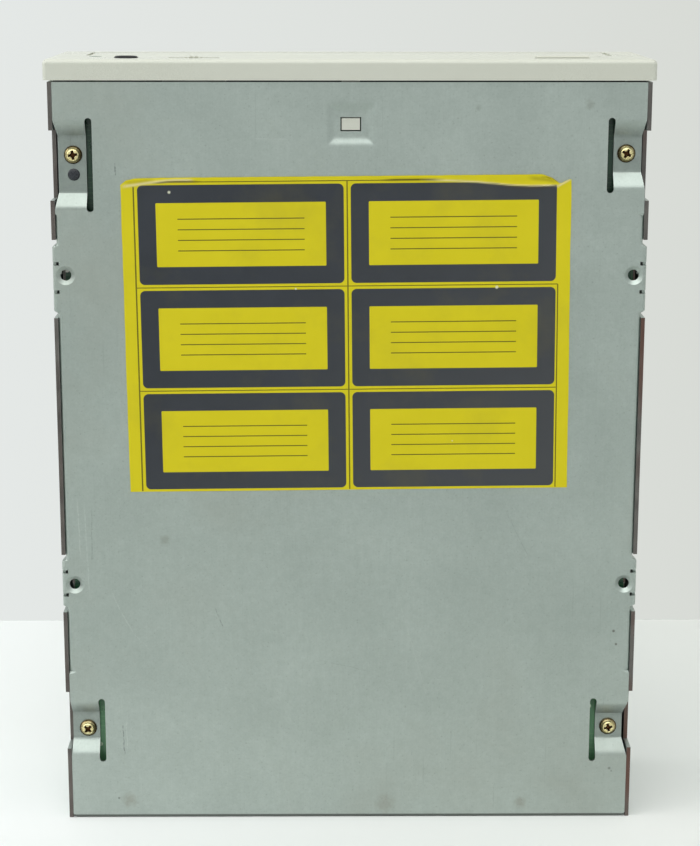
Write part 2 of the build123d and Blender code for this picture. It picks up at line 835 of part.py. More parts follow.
def make_bezel():
    """Cream plastic bezel: rim, front wall, tray opening, holes of the controls, bottom snap."""
    outer = block(
        (-bezel_width / 2, bezel_width / 2), (-bezel_height / 2, bezel_height / 2), (body_length, bezel_front)
    )
    outer = fillet(outer.edges().filter_by(Axis.Z), bezel_corner_radius)
    outer = fillet(outer.faces().sort_by(Axis.Z)[-1].edges(), bezel_edge_radius)
    low_pocket = block(
        (-half_width + bezel_wall, half_width - bezel_wall),
        (-bezel_height / 2 + bezel_wall, tray_panel_low - tray_panel_gap - bezel_wall),
        (body_length - 1, bezel_wall_rear),
    )
    half = tray_panel_half_width + tray_panel_gap
    opening = block(
        (-half, half),
        (tray_panel_low - tray_panel_gap, tray_panel_high + tray_panel_gap),
        (body_length - 1, bezel_front + 1),
    )
    through = (body_length - 1, bezel_front + 1)
    jack_hole = rod_along_z(jack_x, control_y, through, jack_bezel_hole_radius)
    wheel_slot = block(
        (wheel_x - wheel_slot_half, wheel_x + wheel_slot_half),
        (wheel_low - button_gap, wheel_low + wheel_thickness + button_gap),
        through,
    )
    button_hole = block(
        (button_x - button_width / 2 - button_gap, button_x + button_width / 2 + button_gap),
        (control_y - button_height / 2 - button_gap, control_y + button_height / 2 + button_gap),
        through,
    )
    lamp_hole = rod_along_z(lamp_x, lamp_y, through, lamp_radius + button_gap)
    pinhole = rod_along_z(pinhole_x, pinhole_y, through, pinhole_radius)
    bezel = cut(outer, [low_pocket, opening, jack_hole, wheel_slot, button_hole, lamp_hole, pinhole])
    snap_low = plate_inner + window_recess_depth + sheet_gap
    tongue = block(
        (-window_left + snap_clearance, window_right - snap_clearance),
        (snap_low, snap_low + snap_thickness),
        (behind(window_rear) + snap_clearance, body_length + bezel_wall),
    )
    hook = block(
        (-window_left + snap_clearance, window_right - snap_clearance),
        (snap_low - window_hook, snap_low),
        (behind(window_rear) + snap_clearance, behind(window_front) - snap_clearance),
    )
    root = block(
        (-window_left + snap_clearance, window_right - snap_clearance),
        (snap_low - bezel_wall, snap_low + snap_thickness),
        (body_length, bezel_wall_rear + 1),
    )
    return join([bezel, tongue, hook, root])


def make_eject_button():
    """Eject button: cap through the bezel and a flange behind its wall."""
    cap = block(
        (button_x - button_width / 2, button_x + button_width / 2),
        (control_y - button_height / 2, control_y + button_height / 2),
        (button_flange_rear, bezel_front + button_proud),
    )
    cap = fillet(cap.faces().sort_by(Axis.Z)[-1].edges(), button_proud * 0.6)
    flange = block(
        (button_x - button_width / 2 - button_flange, button_x + button_width / 2 + button_flange),
        (control_y - button_height / 2 - button_flange, control_y + button_height / 2 + button_flange),
        (button_flange_rear, bezel_wall_rear - running_gap),
    )
    return cap + flange


def make_eject_switch():
    """Tact switch on the board, with the bore of its plunger."""
    body = block(
        (button_x - switch_width / 2, button_x + switch_width / 2),
        (board_inner, control_y + switch_above),
        (board_front - switch_depth, board_front),
    )
    return body - rod_along_z(
        button_x, control_y, (board_front - plunger_bore, board_front + 1), plunger_radius + plunger_clearance
    )


def make_eject_plunger():
    """The switch's plunger, which the button pushes."""
    rear = board_front - plunger_bore + button_travel + plunger_end_gap
    return rod_along_z(button_x, control_y, (rear, button_flange_rear), plunger_radius)


def make_headphone_jack():
    """Headphone socket: body on the board, round collar through the bezel, bore for the plug."""
    body = block(
        (jack_x - jack_half_width, jack_x + jack_half_width),
        (board_inner, control_y + jack_collar_radius),
        (body_length - running_gap - jack_length, body_length - running_gap),
    )
    collar = rod_along_z(jack_x, control_y, (body_length - 1, bezel_front - jack_setback), jack_collar_radius)
    bore = rod_along_z(
        jack_x, control_y, (bezel_front - jack_setback - jack_bore_depth, bezel_front), jack_bore_radius
    )
    return body + collar - bore


def make_volume_pot():
    """Volume potentiometer on the board's front edge, with its shaft along Y."""
    body = rod_along_y(wheel_x, wheel_z, (board_inner, wheel_low - running_gap), pot_radius)
    rear = block(
        (wheel_x - pot_radius, wheel_x + pot_radius),
        (board_inner, wheel_low - running_gap),
        (wheel_z - pot_radius - pot_tail, wheel_z),
    )
    shaft = rod_along_y(wheel_x, wheel_z, (board_inner, wheel_low + wheel_thickness), gear_stud_radius)
    return join([body, rear, shaft])


def make_volume_wheel():
    """Thumb wheel with a ribbed rim on the potentiometer's shaft."""
    points = []
    for ridge in range(wheel_ridges):
        for share, depth in ((0.0, wheel_ridge_depth), (0.3, 0.0), (0.7, 0.0)):
            angle = 2 * math.pi * (ridge + share) / wheel_ridges
            radius = wheel_radius - depth
            points.append((wheel_x + radius * math.sin(angle), wheel_z + radius * math.cos(angle)))
    wheel = slab(points, (wheel_low, wheel_low + wheel_thickness))
    hole_y = (wheel_low - 1, wheel_low + wheel_thickness + 1)
    return wheel - rod_along_y(wheel_x, wheel_z, hole_y, gear_stud_radius + shaft_clearance)


def make_lamp_holder():
    """Plastic block that holds the lamp above the board in a half-round seat."""
    holder = block(
        (lamp_x - lamp_radius - lamp_setback, lamp_x + lamp_radius + lamp_setback),
        (board_inner, lamp_y),
        (lamp_holder_rear, board_front),
    )
    return holder - rod_along_z(lamp_x, lamp_y, (lamp_holder_rear, board_front), lamp_radius)


def make_lamp():
    """Small round lamp that looks through the bezel, with its flange on the holder."""
    body = rod_along_z(lamp_x, lamp_y, (lamp_holder_rear, bezel_front - lamp_setback), lamp_radius)
    return fillet(body.edges().sort_by(Axis.Z)[-1], lamp_radius * 0.8)


def mesh_angle(direction, teeth, first_angle, mate_teeth):
    """First tooth's angle of a gear that meshes with another one, which lies in a direction from it."""
    phase = ((direction - first_angle) * teeth / 360) % 1
    return direction + 180 + (phase - 0.5) * 360 / mate_teeth


def make_tray_gear():
    """Gear that drives the tray's rack, with a long hub on its stud."""
    x = -tray_gear_from_centre
    wheel = gear(gear_module, tray_gear_teeth, 180, x, loading_z, (gear_low, gear_low + gear_width))
    hub_y = (chassis_floor_high + running_gap, gear_low)
    hub = rod_along_y(x, loading_z, hub_y, 2 * gear_stud_radius)
    bore_y = (hub_y[0] - 1, gear_low + gear_width + 1)
    return wheel + hub - rod_along_y(x, loading_z, bore_y, gear_stud_radius + shaft_clearance)


def grooved_pulley(x, groove, flange):
    """A belt pulley about Y with two flanges."""
    rim = pulley_width / 4
    core_radius = groove - belt_radius - sheet_gap
    core = rod_along_y(x, loading_z, (pulley_low, pulley_low + pulley_width), core_radius)
    low = rod_along_y(x, loading_z, (pulley_low, pulley_low + rim), flange)
    high = rod_along_y(x, loading_z, (pulley_low + pulley_width - rim, pulley_low + pulley_width), flange)
    return join([core, low, high])


def make_pulley_gear():
    """Large pulley with the small gear that drives the tray gear."""
    angle = mesh_angle(0, tray_gear_teeth, 180, pinion_teeth)
    pinion_y = (pulley_low + pulley_width, gear_low + gear_width)
    pinion = gear(gear_module, pinion_teeth, angle, pinion_x, loading_z, pinion_y)
    whole = grooved_pulley(pinion_x, pulley_groove_radius, pulley_flange_radius) + pinion
    bore_y = (pulley_low - 1, pinion_y[1] + 1)
    return whole - rod_along_y(pinion_x, loading_z, bore_y, gear_stud_radius + shaft_clearance)


def make_motor_pulley():
    """Small pulley on the loading motor's shaft."""
    groove = motor_pulley_groove_radius + belt_radius
    pulley = grooved_pulley(loading_motor_from_centre, groove, motor_pulley_flange_radius)
    bore_y = (pulley_low - 1, pulley_low + pulley_width + 1)
    bore = rod_along_y(loading_motor_from_centre, loading_z, bore_y, motor_shaft_radius + shaft_clearance)
    return pulley - bore


def belt_outline(large, small):
    """Outline of a belt that runs round two pulleys of the given radii."""
    reach = loading_motor_from_centre - pinion_x
    tilt = math.acos((large - small) / reach)

    def on_circle(centre, radius, angle):
        y = belt_y - belt_radius
        return (centre + radius * math.cos(angle), y, loading_z + radius * math.sin(angle))

    wire = Wire([
        ThreePointArc(
            on_circle(pinion_x, large, tilt),
            on_circle(pinion_x, large, math.pi),
            on_circle(pinion_x, large, -tilt),
        ),
        Line(
            on_circle(pinion_x, large, -tilt),
            on_circle(loading_motor_from_centre, small, -tilt),
        ),
        ThreePointArc(
            on_circle(loading_motor_from_centre, small, -tilt),
            on_circle(loading_motor_from_centre, small, 0),
            on_circle(loading_motor_from_centre, small, tilt),
        ),
        Line(
            on_circle(loading_motor_from_centre, small, tilt),
            on_circle(pinion_x, large, tilt),
        ),
    ])
    return extrude(make_face(wire), amount=2 * belt_radius, dir=(0, 1, 0))


def make_drive_belt():
    """Square rubber belt between the two pulleys."""
    small = motor_pulley_groove_radius + belt_radius
    outer = belt_outline(pulley_groove_radius + belt_radius, small + belt_radius)
    inner = belt_outline(pulley_groove_radius - belt_radius, small - belt_radius)
    return outer - inner


def make_loading_motor():
    """Flat motor under the chassis floor, with its shaft up through the floor."""
    can_y = (chassis_floor_low - loading_motor_height, chassis_floor_low)
    can = rod_along_y(loading_motor_from_centre, loading_z, can_y, loading_motor_radius)
    shaft_y = (chassis_floor_low, pulley_low + pulley_width)
    return can + rod_along_y(loading_motor_from_centre, loading_z, shaft_y, motor_shaft_radius)


def make_tray_switch():
    """Small switch on the chassis floor that feels the tray."""
    body = block(
        (tray_switch_x, tray_switch_x + tray_switch_width),
        (chassis_floor_high, chassis_floor_high + tray_switch_height),
        (loading_z - tray_switch_width, loading_z),
    )
    lever = block(
        (tray_switch_x + 1, tray_switch_x + 3),
        (chassis_floor_high + tray_switch_height, tray_underside - 1),
        (loading_z - tray_switch_width / 2 - 1, loading_z - tray_switch_width / 2),
    )
    return body + lever


def make_traverse():
    """Moulded traverse frame: shallow box with hinge pins, cam pins and posts."""
    half = traverse_half_width
    frame = block((-half, half), (traverse_low, traverse_high), (traverse_rear, traverse_front))
    inside = half - traverse_wall
    frame = frame - block(
        (-inside, inside), (traverse_floor_top, traverse_high + 1),
        (traverse_rear + traverse_wall, traverse_front - traverse_wall),
    )
    frame = frame - block(
        (-pickup_window_half, pickup_window_half), (traverse_low - 1, traverse_floor_top + 1),
        (sled_rear - sled_travel, spindle_z - spindle_motor_radius - pickup_window_gap),
    )
    through = (traverse_low - 1, traverse_floor_top + 1)
    frame = frame - rod_along_y(0, spindle_z, through, spindle_motor_radius + running_gap)
    parts = [frame]
    for side in (-1, 1):
        post_x = (side * rod_x - rod_post_half, side * rod_x + rod_post_half)
        post_z = (rod_front - rod_post_half, rod_front + rod_post_half)
        parts.append(block(post_x, (traverse_floor_top, rod_y + rod_post_above), post_z))
        pin_x = sorted([side * (half - 1), side * (ear_inner + ear_thickness)])
        parts.append(rod_along_x(traverse_axis_y, traverse_axis_z, pin_x, traverse_pin_radius))
        cam_pin_z = (traverse_front - 1, cam_rear + cam_thickness - running_gap)
        parts.append(rod_along_z(side * cam_pin_x, cam_pin_y, cam_pin_z, cam_pin_radius))
    stud_y = (traverse_floor_top, sled_gear_low + sled_gear_width)
    parts.append(rod_along_y(sled_gear_x, sled_gear_z, stud_y, sled_stud_radius))
    frame = join(parts)
    for side in (-1, 1):
        rod_z = (traverse_rear + traverse_wall / 2, rod_front)
        frame = frame - rod_along_z(side * rod_x, rod_y, rod_z, rod_radius)
    return frame


def make_guide_rods():
    """Two ground steel rods that the sled runs on."""
    rod_z = (traverse_rear + traverse_wall / 2, rod_front)
    return Compound(children=[rod_along_z(side * rod_x, rod_y, rod_z, rod_radius) for side in (-1, 1)])


def make_cam_slider():
    """Slider in front of the traverse: its two slanted slots lift and lower the traverse's pins."""
    depth = (cam_rear, cam_rear + cam_thickness)
    bar = block((-cam_half_length, cam_half_length), (cam_low, cam_high), depth)
    length = math.hypot(cam_travel, traverse_drop)
    along = (-cam_travel / length, -traverse_drop / length)
    across = (-along[1], along[0])
    room = cam_pin_radius + cam_slot_clearance
    for pin in (-cam_pin_x, cam_pin_x):
        corners = []
        for step, side in ((-room, -room), (length + room, -room), (length + room, room), (-room, room)):
            corners.append((
                pin + along[0] * step + across[0] * side,
                cam_pin_y + along[1] * step + across[1] * side,
                cam_rear - 1,
            ))
        slot = extrude(make_face(Polyline(*corners, close=True)), amount=cam_thickness + 2, dir=(0, 0, 1))
        bar = bar - slot
    return bar


def make_spindle_motor():
    """Flat spindle motor on its steel plate under the traverse, with its shaft."""
    half = turntable_radius
    plate_y = (traverse_low - spindle_plate_thickness, traverse_low)
    plate = block((-half, half), plate_y, (spindle_z - half, spindle_z + half))
    can = rod_along_y(0, spindle_z, (traverse_low, spindle_motor_high), spindle_motor_radius)
    shaft = rod_along_y(0, spindle_z, (spindle_motor_high, turntable_seat_y), motor_shaft_radius)
    return join([plate, can, shaft])


def make_turntable():
    """Turntable: hub, round plate and centring cone."""
    seat = turntable_seat_y - turntable_rubber_thickness
    hub_y = (spindle_motor_high + running_gap, seat)
    hub = rod_along_y(0, spindle_z, hub_y, turntable_hub_radius)
    plate = rod_along_y(0, spindle_z, (seat - turntable_plate_thickness, seat), turntable_radius)
    collar = rod_along_y(0, spindle_z, (seat, turntable_seat_y), cone_base_radius)
    cone = Cone(cone_base_radius, cone_top_radius, cone_height, align=(Align.CENTER, Align.CENTER, Align.MIN))
    cone = Pos(0, turntable_seat_y, spindle_z) * Rot(-90, 0, 0) * cone
    bore_y = (hub_y[0] - 1, turntable_seat_y + sheet_gap)
    bore = rod_along_y(0, spindle_z, bore_y, motor_shaft_radius + shaft_clearance)
    return join([hub, plate, collar, cone]) - bore


def make_turntable_rubber():
    """Rubber ring that the disc lies on."""
    y = (turntable_seat_y - turntable_rubber_thickness, turntable_seat_y)
    ring = rod_along_y(0, spindle_z, y, turntable_radius - 2 * sheet_gap)
    return ring - rod_along_y(0, spindle_z, y, turntable_rubber_inner)


def make_clamp_bridge():
    """Steel bridge across the chassis walls that holds the clamper."""
    y = (bridge_low, bridge_high)
    beam_z = (spindle_z - bridge_half_length, spindle_z + bridge_half_length)
    beam = block((-chassis_outer, chassis_outer), y, beam_z)
    hole_y = (y[0] - 1, y[1] + 1)
    holes = [rod_along_y(0, spindle_z, hole_y, clamper_neck_radius + bridge_hole_gap)]
    for side in (-1, 1):
        for z in (spindle_z - bridge_peg_spread, spindle_z + bridge_peg_spread):
            x = side * (chassis_inner + chassis_wall / 2)
            holes.append(rod_along_y(x, z, hole_y, bridge_peg_radius + sheet_gap))
    return cut(beam, holes)


def make_clamper():
    """Plastic clamper that presses the disc on the turntable."""
    plate_y = (clamper_low, clamper_low + clamper_plate)
    flange_low = bridge_high + bridge_hole_gap
    neck = rod_along_y(0, spindle_z, (clamper_low, flange_low), clamper_neck_radius)
    plate = rod_along_y(0, spindle_z, plate_y, clamper_radius)
    flange = rod_along_y(0, spindle_z, (flange_low, flange_low + clamper_flange), clamper_flange_radius)
    cone_y = (clamper_low, turntable_seat_y + cone_height + disc_thickness)
    cone_room = rod_along_y(0, spindle_z, cone_y, cone_base_radius + running_gap)
    magnet_y = (flange_low - magnet_height, flange_low + 2)
    magnet_room = rod_along_y(0, spindle_z, magnet_y, magnet_radius + sheet_gap)
    return join([neck, plate, flange]) - cone_room - magnet_room


def make_clamper_magnet():
    """Magnet in the clamper that pulls it to the turntable."""
    flange_low = bridge_high + bridge_hole_gap
    return rod_along_y(0, spindle_z, (flange_low - magnet_height, flange_low), magnet_radius)


def make_sled():
    """Pickup sled: body with two bores on the rods, rack on its side and a pocket for the lens holder."""
    body = block((-sled_left, sled_right), (sled_low, sled_high), (sled_rear, sled_front))
    teeth_y = (sled_gear_low - 2 * sheet_gap, sled_gear_low + sled_gear_width + 2 * sheet_gap)
    teeth = rack(
        sled_module, sled_rack_x, -1, sled_gear_z, (sled_rack_start, sled_rack_end), teeth_y, sled_rack_back
    )
    body = body + teeth
    for side in (-1, 1):
        rod_z = (sled_rear - 1, sled_front + 1)
        body = body - rod_along_z(side * rod_x, rod_y, rod_z, rod_radius + shaft_clearance)
    room = lens_holder_half + lens_focus_gap - running_gap
    pocket = block(
        (-room, room), (sled_high - lens_holder_height, sled_high + 1), (lens_z - room, lens_z + room)
    )
    return body - pocket


def make_lens_holder():
    """Moving holder of the lens, hung in the sled's pocket."""
    half = lens_holder_half
    y = (sled_high - lens_holder_height + lens_focus_gap, sled_high + lens_holder_height)
    holder = block((-half, half), y, (lens_z - half, lens_z + half))
    return holder - rod_along_y(0, lens_z, (y[0] - 1, y[1] + 1), lens_radius)


def make_lens():
    """Objective lens with a rounded top."""
    y = (sled_high + lens_holder_height / 2, sled_high + lens_holder_height + lens_focus_gap)
    lens = rod_along_y(0, lens_z, y, lens_radius)
    return fillet(lens.edges().sort_by(Axis.Y)[-1], lens_focus_gap * 0.9)


def make_sled_gear():
    """Gear between the sled motor and the sled's rack."""
    y = (sled_gear_low, sled_gear_low + sled_gear_width)
    wheel = gear(sled_module, sled_gear_teeth, 0, sled_gear_x, sled_gear_z, y)
    bore = rod_along_y(sled_gear_x, sled_gear_z, (y[0] - 1, y[1] + 1), sled_stud_radius + shaft_clearance)
    return wheel - bore


def make_sled_pinion():
    """Small gear on the sled motor's shaft."""
    y = (sled_gear_low, sled_gear_low + sled_gear_width)
    angle = mesh_angle(-90, sled_gear_teeth, 0, sled_pinion_teeth)
    wheel = gear(sled_module, sled_pinion_teeth, angle, sled_gear_x, sled_pinion_z, y)
    bore_y = (y[0] - 1, y[1] + 1)
    return wheel - rod_along_y(sled_gear_x, sled_pinion_z, bore_y, sled_shaft_radius + shaft_clearance)


def make_sled_motor():
    """Small flat motor on the traverse floor, with its shaft."""
    can = rod_along_y(sled_gear_x, sled_pinion_z, (traverse_floor_top, sled_motor_high), sled_motor_radius)
    shaft_y = (sled_motor_high, sled_gear_low + sled_gear_width)
    return can + rod_along_y(sled_gear_x, sled_pinion_z, shaft_y, sled_shaft_radius)


def connector_shell(x, width, height, key_width):
    """Open-backed connector shroud on the board's rear edge, with a key slot in its top wall."""
    y = (board_inner, board_inner + height)
    z = (connector_rear, connector_front)
    shell = block((x - width / 2, x + width / 2), y, z)
    inside = block(
        (x - width / 2 + connector_wall, x + width / 2 - connector_wall),
        (y[0] + connector_wall, y[1] - connector_wall),
        (z[0] - 1, z[0] + connector_depth),
    )
    key = block(
        (x - key_width / 2, x + key_width / 2),
        (y[1] - connector_wall - 1, y[1] + 1),
        (z[0] - 1, z[0] + key_depth),
    )
    return shell - inside - key


def square_pins(x, columns, rows, height, skip):
    """Square pins in a shroud, from near its mouth to its floor."""
    pins = []
    half = data_pin_side / 2
    for column in range(columns):
        for row in range(rows):
            if (column, row) in skip:
                continue
            px = x + (column - (columns - 1) / 2) * data_pitch
            py = board_inner + height / 2 + (row - (rows - 1) / 2) * data_pitch
            z = (connector_rear + pin_setback, connector_rear + connector_depth)
            pins.append(block((px - half, px + half), (py - half, py + half), z))
    return Compound(children=pins)


def make_data_connector():
    """Shroud of the data connector."""
    return connector_shell(data_x, data_length, connector_height, data_key_width)


def make_data_pins():
    """Two rows of pins, with one left out as a key."""
    return square_pins(data_x, data_pin_columns, 2, connector_height, [(data_pin_columns // 2, 0)])


def make_power_connector():
    """Shroud of the power connector, with two bevelled corners."""
    shell = connector_shell(power_x, power_width, connector_height, 0.5)
    corners = shell.edges().filter_by(Axis.Z).group_by(Axis.Y)[-1]
    outer = [corners.sort_by(Axis.X)[0], corners.sort_by(Axis.X)[-1]]
    return chamfer(outer, connector_wall * 0.9)


def make_power_pins():
    """Four round power pins."""
    pins = []
    for column in range(4):
        x = power_x + (column - 1.5) * power_pitch
        z = (connector_rear + pin_setback, connector_rear + connector_depth)
        pins.append(rod_along_z(x, board_inner + connector_height / 2, z, power_pin_radius))
    return Compound(children=pins)


def make_audio_connector():
    """Shroud of the audio connector."""
    return connector_shell(audio_x, audio_width, small_connector_height, audio_key_width)


def make_audio_pins():
    """Four pins of the audio connector."""
    return square_pins(audio_x, audio_pin_count, 1, small_connector_height, [])


def jumper_place(column, row):
    """Centre of a jumper pin as x and y."""
    x = jumper_x + (column - (jumper_columns - 1) / 2) * data_pitch
    y = board_inner + jumper_base_height / 2 + (row - 0.5) * data_pitch
    return x, y


def make_jumper_block():
    """Pin header of the drive's settings: plastic base with its pins."""
    half = data_pitch * jumper_columns / 2
    base_z = (connector_front - jumper_base_length, connector_front)
    base = block((jumper_x - half, jumper_x + half), (board_inner, board_inner + jumper_base_height), base_z)
    parts = [base]
    for column in range(jumper_columns):
        for row in (0, 1):
            x, y = jumper_place(column, row)
            side = data_pin_side / 2
            parts.append(block((x - side, x + side), (y - side, y + side), (connector_rear, base_z[0] + 1)))
    return join(parts)


def make_jumper_cap():
    """Cap that bridges one pair of pins."""
    x, low = jumper_place(0, 0)
    high = jumper_place(0, 1)[1]
    wall = data_pitch / 2 - sheet_gap
    front = connector_front - jumper_base_length
    cap = block((x - wall, x + wall), (low - wall, high + wall), (front - jumper_cap_length, front))
    for y in (low, high):
        half = data_pin_side / 2 + sheet_gap / 2
        cap = cap - block((x - half, x + half), (y - half, y + half), (connector_rear - 1, front + 1))
    return cap


def make_board_chips():
    """Flat packages on the board under the traverse."""
    return Compound(children=[
        block(
            (x - w / 2, x + w / 2),
            (board_inner, board_inner + chip_height),
            (behind(distance) - d / 2, behind(distance) + d / 2),
        )
        for x, distance, w, d in chip_places
    ])


def make_capacitors():
    """Upright electrolytic capacitors on the board."""
    return Compound(children=[
        rod_along_y(
            side * (half_width - capacitor_from_side),
            behind(distance),
            (board_inner, board_inner + capacitor_height),
            capacitor_radius,
        )
        for side, distance in capacitor_places
    ])


def make_label():
    """Thin self-adhesive sheet on the bottom plate."""
    return block(
        (-label_left, label_right),
        (plate_outer - label_thickness, plate_outer),
        (behind(label_rear_from_bezel), behind(label_front_from_bezel)),
    )


nodes = {
    "bottom_plate": make_bottom_plate,
    "top_cover": make_top_cover,
    "bezel": make_bezel,
    "label_sheet": make_label,
    "frame_screws": make_frame_screws,
    "main_board": make_main_board,
    "board_chips": make_board_chips,
    "board_capacitors": make_capacitors,
    "data_connector": make_data_connector,
    "data_pins": make_data_pins,
    "power_connector": make_power_connector,
    "power_pins": make_power_pins,
    "audio_connector": make_audio_connector,
    "audio_pins": make_audio_pins,
    "jumper_block": make_jumper_block,
    "jumper_cap": make_jumper_cap,
    "headphone_jack": make_headphone_jack,
    "volume_pot": make_volume_pot,
    "volume_wheel": make_volume_wheel,
    "lamp_holder": make_lamp_holder,
    "front_lamp": make_lamp,
    "eject_switch": make_eject_switch,
    "eject_plunger": make_eject_plunger,
    "eject_button": make_eject_button,
    "chassis": make_chassis,
    "tray": make_tray,
    "tray_front": make_tray_front,
    "tray_gear": make_tray_gear,
    "pulley_gear": make_pulley_gear,
    "drive_belt": make_drive_belt,
    "motor_pulley": make_motor_pulley,
    "loading_motor": make_loading_motor,
    "tray_switch": make_tray_switch,
    "cam_slider": make_cam_slider,
    "traverse_frame": make_traverse,
    "traverse_bushes": make_traverse_bushes,
    "guide_rods": make_guide_rods,
    "spindle_motor": make_spindle_motor,
    "turntable": make_turntable,
    "turntable_rubber": make_turntable_rubber,
    "clamp_bridge": make_clamp_bridge,
    "clamper": make_clamper,
    "clamper_magnet": make_clamper_magnet,
    "sled": make_sled,
    "lens_holder": make_lens_holder,
    "lens": make_lens,
    "sled_gear": make_sled_gear,
    "sled_pinion": make_sled_pinion,
    "sled_motor": make_sled_motor,
}

os.makedirs("parts", exist_ok=True)
for name, make in nodes.items():
    export_step(make(), f"parts/{name}.step")
    print(name)
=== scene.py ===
import math

import bpy
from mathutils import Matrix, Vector, noise
from mathutils.geometry import delaunay_2d_cdt


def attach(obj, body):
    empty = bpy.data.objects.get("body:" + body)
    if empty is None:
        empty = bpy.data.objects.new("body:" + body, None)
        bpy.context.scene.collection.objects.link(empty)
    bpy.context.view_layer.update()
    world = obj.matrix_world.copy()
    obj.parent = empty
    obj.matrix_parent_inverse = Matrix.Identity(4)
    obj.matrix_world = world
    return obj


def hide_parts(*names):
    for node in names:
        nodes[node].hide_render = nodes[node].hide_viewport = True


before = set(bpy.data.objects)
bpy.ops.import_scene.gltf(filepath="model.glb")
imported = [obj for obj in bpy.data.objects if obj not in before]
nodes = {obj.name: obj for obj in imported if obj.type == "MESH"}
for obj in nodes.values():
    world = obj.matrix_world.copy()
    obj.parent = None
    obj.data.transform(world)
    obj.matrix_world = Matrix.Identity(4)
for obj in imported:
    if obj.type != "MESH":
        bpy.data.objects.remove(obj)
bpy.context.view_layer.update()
scene = bpy.context.scene
scene.view_settings.view_transform = "Standard"


# The drive is looked at from a little above its middle, square on to the bottom plate, from about
# half a metre away. The lens is a long one, so the upright sides nearly stay parallel.
camera_place = Vector((-0.0044, -0.5212, 0.2197))
camera_pitch = math.radians(12.86)
camera_yaw = math.radians(0.51)
camera_roll = math.radians(0.06)
focal_length = 87.45
sensor_long_side = 36.0

forward = Vector((
    math.sin(camera_yaw) * math.cos(camera_pitch),
    math.cos(camera_yaw) * math.cos(camera_pitch),
    -math.sin(camera_pitch),
))
level_right = Vector((math.cos(camera_yaw), -math.sin(camera_yaw), 0))
level_up = level_right.cross(forward)
right = math.cos(camera_roll) * level_right + math.sin(camera_roll) * level_up
up = math.cos(camera_roll) * level_up - math.sin(camera_roll) * level_right
camera = bpy.data.objects.new("camera", bpy.data.cameras.new("camera"))
scene.collection.objects.link(camera)
camera.data.lens = focal_length
camera.data.sensor_width = sensor_long_side
camera.data.clip_start = 0.02
camera.data.clip_end = 20
for row in range(3):
    camera.matrix_world[row][0] = right[row]
    camera.matrix_world[row][1] = up[row]
    camera.matrix_world[row][2] = -forward[row]
    camera.matrix_world[row][3] = camera_place[row]
scene.camera = camera


# The drive stands on a white laminate table against a pale painted wall. Both are matt, and their colours
# carry painted shade.
# The wall shows only from its front, so it hides nothing when the drive is seen from behind.
wall_distance = 0.1416
table_half = 3.0
wall_high = 2.4


def paint(red, green, blue):
    """Colour for a shader from red, green and blue on the usual scale of 0 to 255."""
    linear = []
    for part in (red, green, blue):
        part = part / 255
        linear.append(part / 12.92 if part <= 0.04045 else ((part + 0.055) / 1.055) ** 2.4)
    return (*linear, 1.0)


def shader_node(tree, kind, values=None, **settings):
    """A shader node with its settings. Each value goes to an input, plain or as a link."""
    made = tree.nodes.new(kind)
    for key, value in settings.items():
        setattr(made, key, value)
    for key, value in (values or {}).items():
        if isinstance(value, bpy.types.NodeSocket):
            tree.links.new(value, made.inputs[key])
        else:
            made.inputs[key].default_value = value
    return made


def object_place(tree):
    """Where a shaded point lies in the drive's own frame, in metres."""
    return shader_node(tree, "ShaderNodeTexCoord").outputs["Object"]


def split(tree, vector):
    """The X, Y and Z of a vector in a shader tree."""
    return shader_node(tree, "ShaderNodeSeparateXYZ", {"Vector": vector}).outputs


def number(tree, operation, first, second=None, clamp=False):
    """A sum on numbers in a shader tree."""
    values = {0: first}
    if second is not None:
        values[1] = second
    return shader_node(tree, "ShaderNodeMath", values, operation=operation, use_clamp=clamp).outputs[0]


def ramp(tree, value, low, high, start=0.0, end=1.0):
    """Runs from start to end while a value runs from low to high."""
    return shader_node(tree, "ShaderNodeMapRange", {
        "Value": value, "From Min": low, "From Max": high, "To Min": start, "To Max": end}).outputs[0]


def clouds(tree, where, scale, detail, **more):
    """Soft noise between 0 and 1 over a place."""
    return shader_node(tree, "ShaderNodeTexNoise", {
        "Vector": where, "Scale": scale, "Detail": detail, **more}).outputs["Fac"]


def mix(tree, share, first, second):
    """A colour between two, each of them a socket or red, green and blue from 0 to 255."""
    first, second = (end if isinstance(end, bpy.types.NodeSocket) else paint(*end) for end in (first, second))
    return shader_node(
        tree, "ShaderNodeMix", {"Factor": share, "A": first, "B": second}, data_type="RGBA").outputs[2]


def empty_material(name):
    """A material with nothing in it, and the tree it is built in."""
    material = bpy.data.materials.new(name)
    material.use_nodes = True
    material.node_tree.nodes.clear()
    return material, material.node_tree


def coat_with(tree, values):
    """A material's shader with its values, joined to the output."""
    coat = shader_node(tree, "ShaderNodeBsdfPrincipled", values)
    shader_node(tree, "ShaderNodeOutputMaterial", {"Surface": coat.outputs[0]})


def flat_sheet(name, corners, material):
    """A single flat face of the surroundings, given by its corners."""
    mesh = bpy.data.meshes.new(name)
    mesh.from_pydata(corners, [], [tuple(range(len(corners)))])
    mesh.materials.append(material)
    sheet = bpy.data.objects.new(name, mesh)
    scene.collection.objects.link(sheet)


def shade_across(tree, left, right_tone, reach):
    """A painted shade that runs from a left colour to a darker right one across the surroundings, with faint
    clouds in it.
    """
    where = object_place(tree)
    drift = number(tree, "MULTIPLY", clouds(tree, where, 8.0, 3.0), 0.03)
    place = number(tree, "ADD", split(tree, where)["X"], drift)
    return mix(tree, ramp(tree, place, -reach, reach), left, right_tone)


def straight_rays(tree):
    """1 for the rays that show the surroundings as they look: seen, mirrored or through something clear."""
    rays = shader_node(tree, "ShaderNodeLightPath").outputs
    mirrored = number(tree, "MAXIMUM", rays["Is Glossy Ray"], rays["Is Transmission Ray"])
    return number(tree, "MAXIMUM", rays["Is Camera Ray"], mirrored)


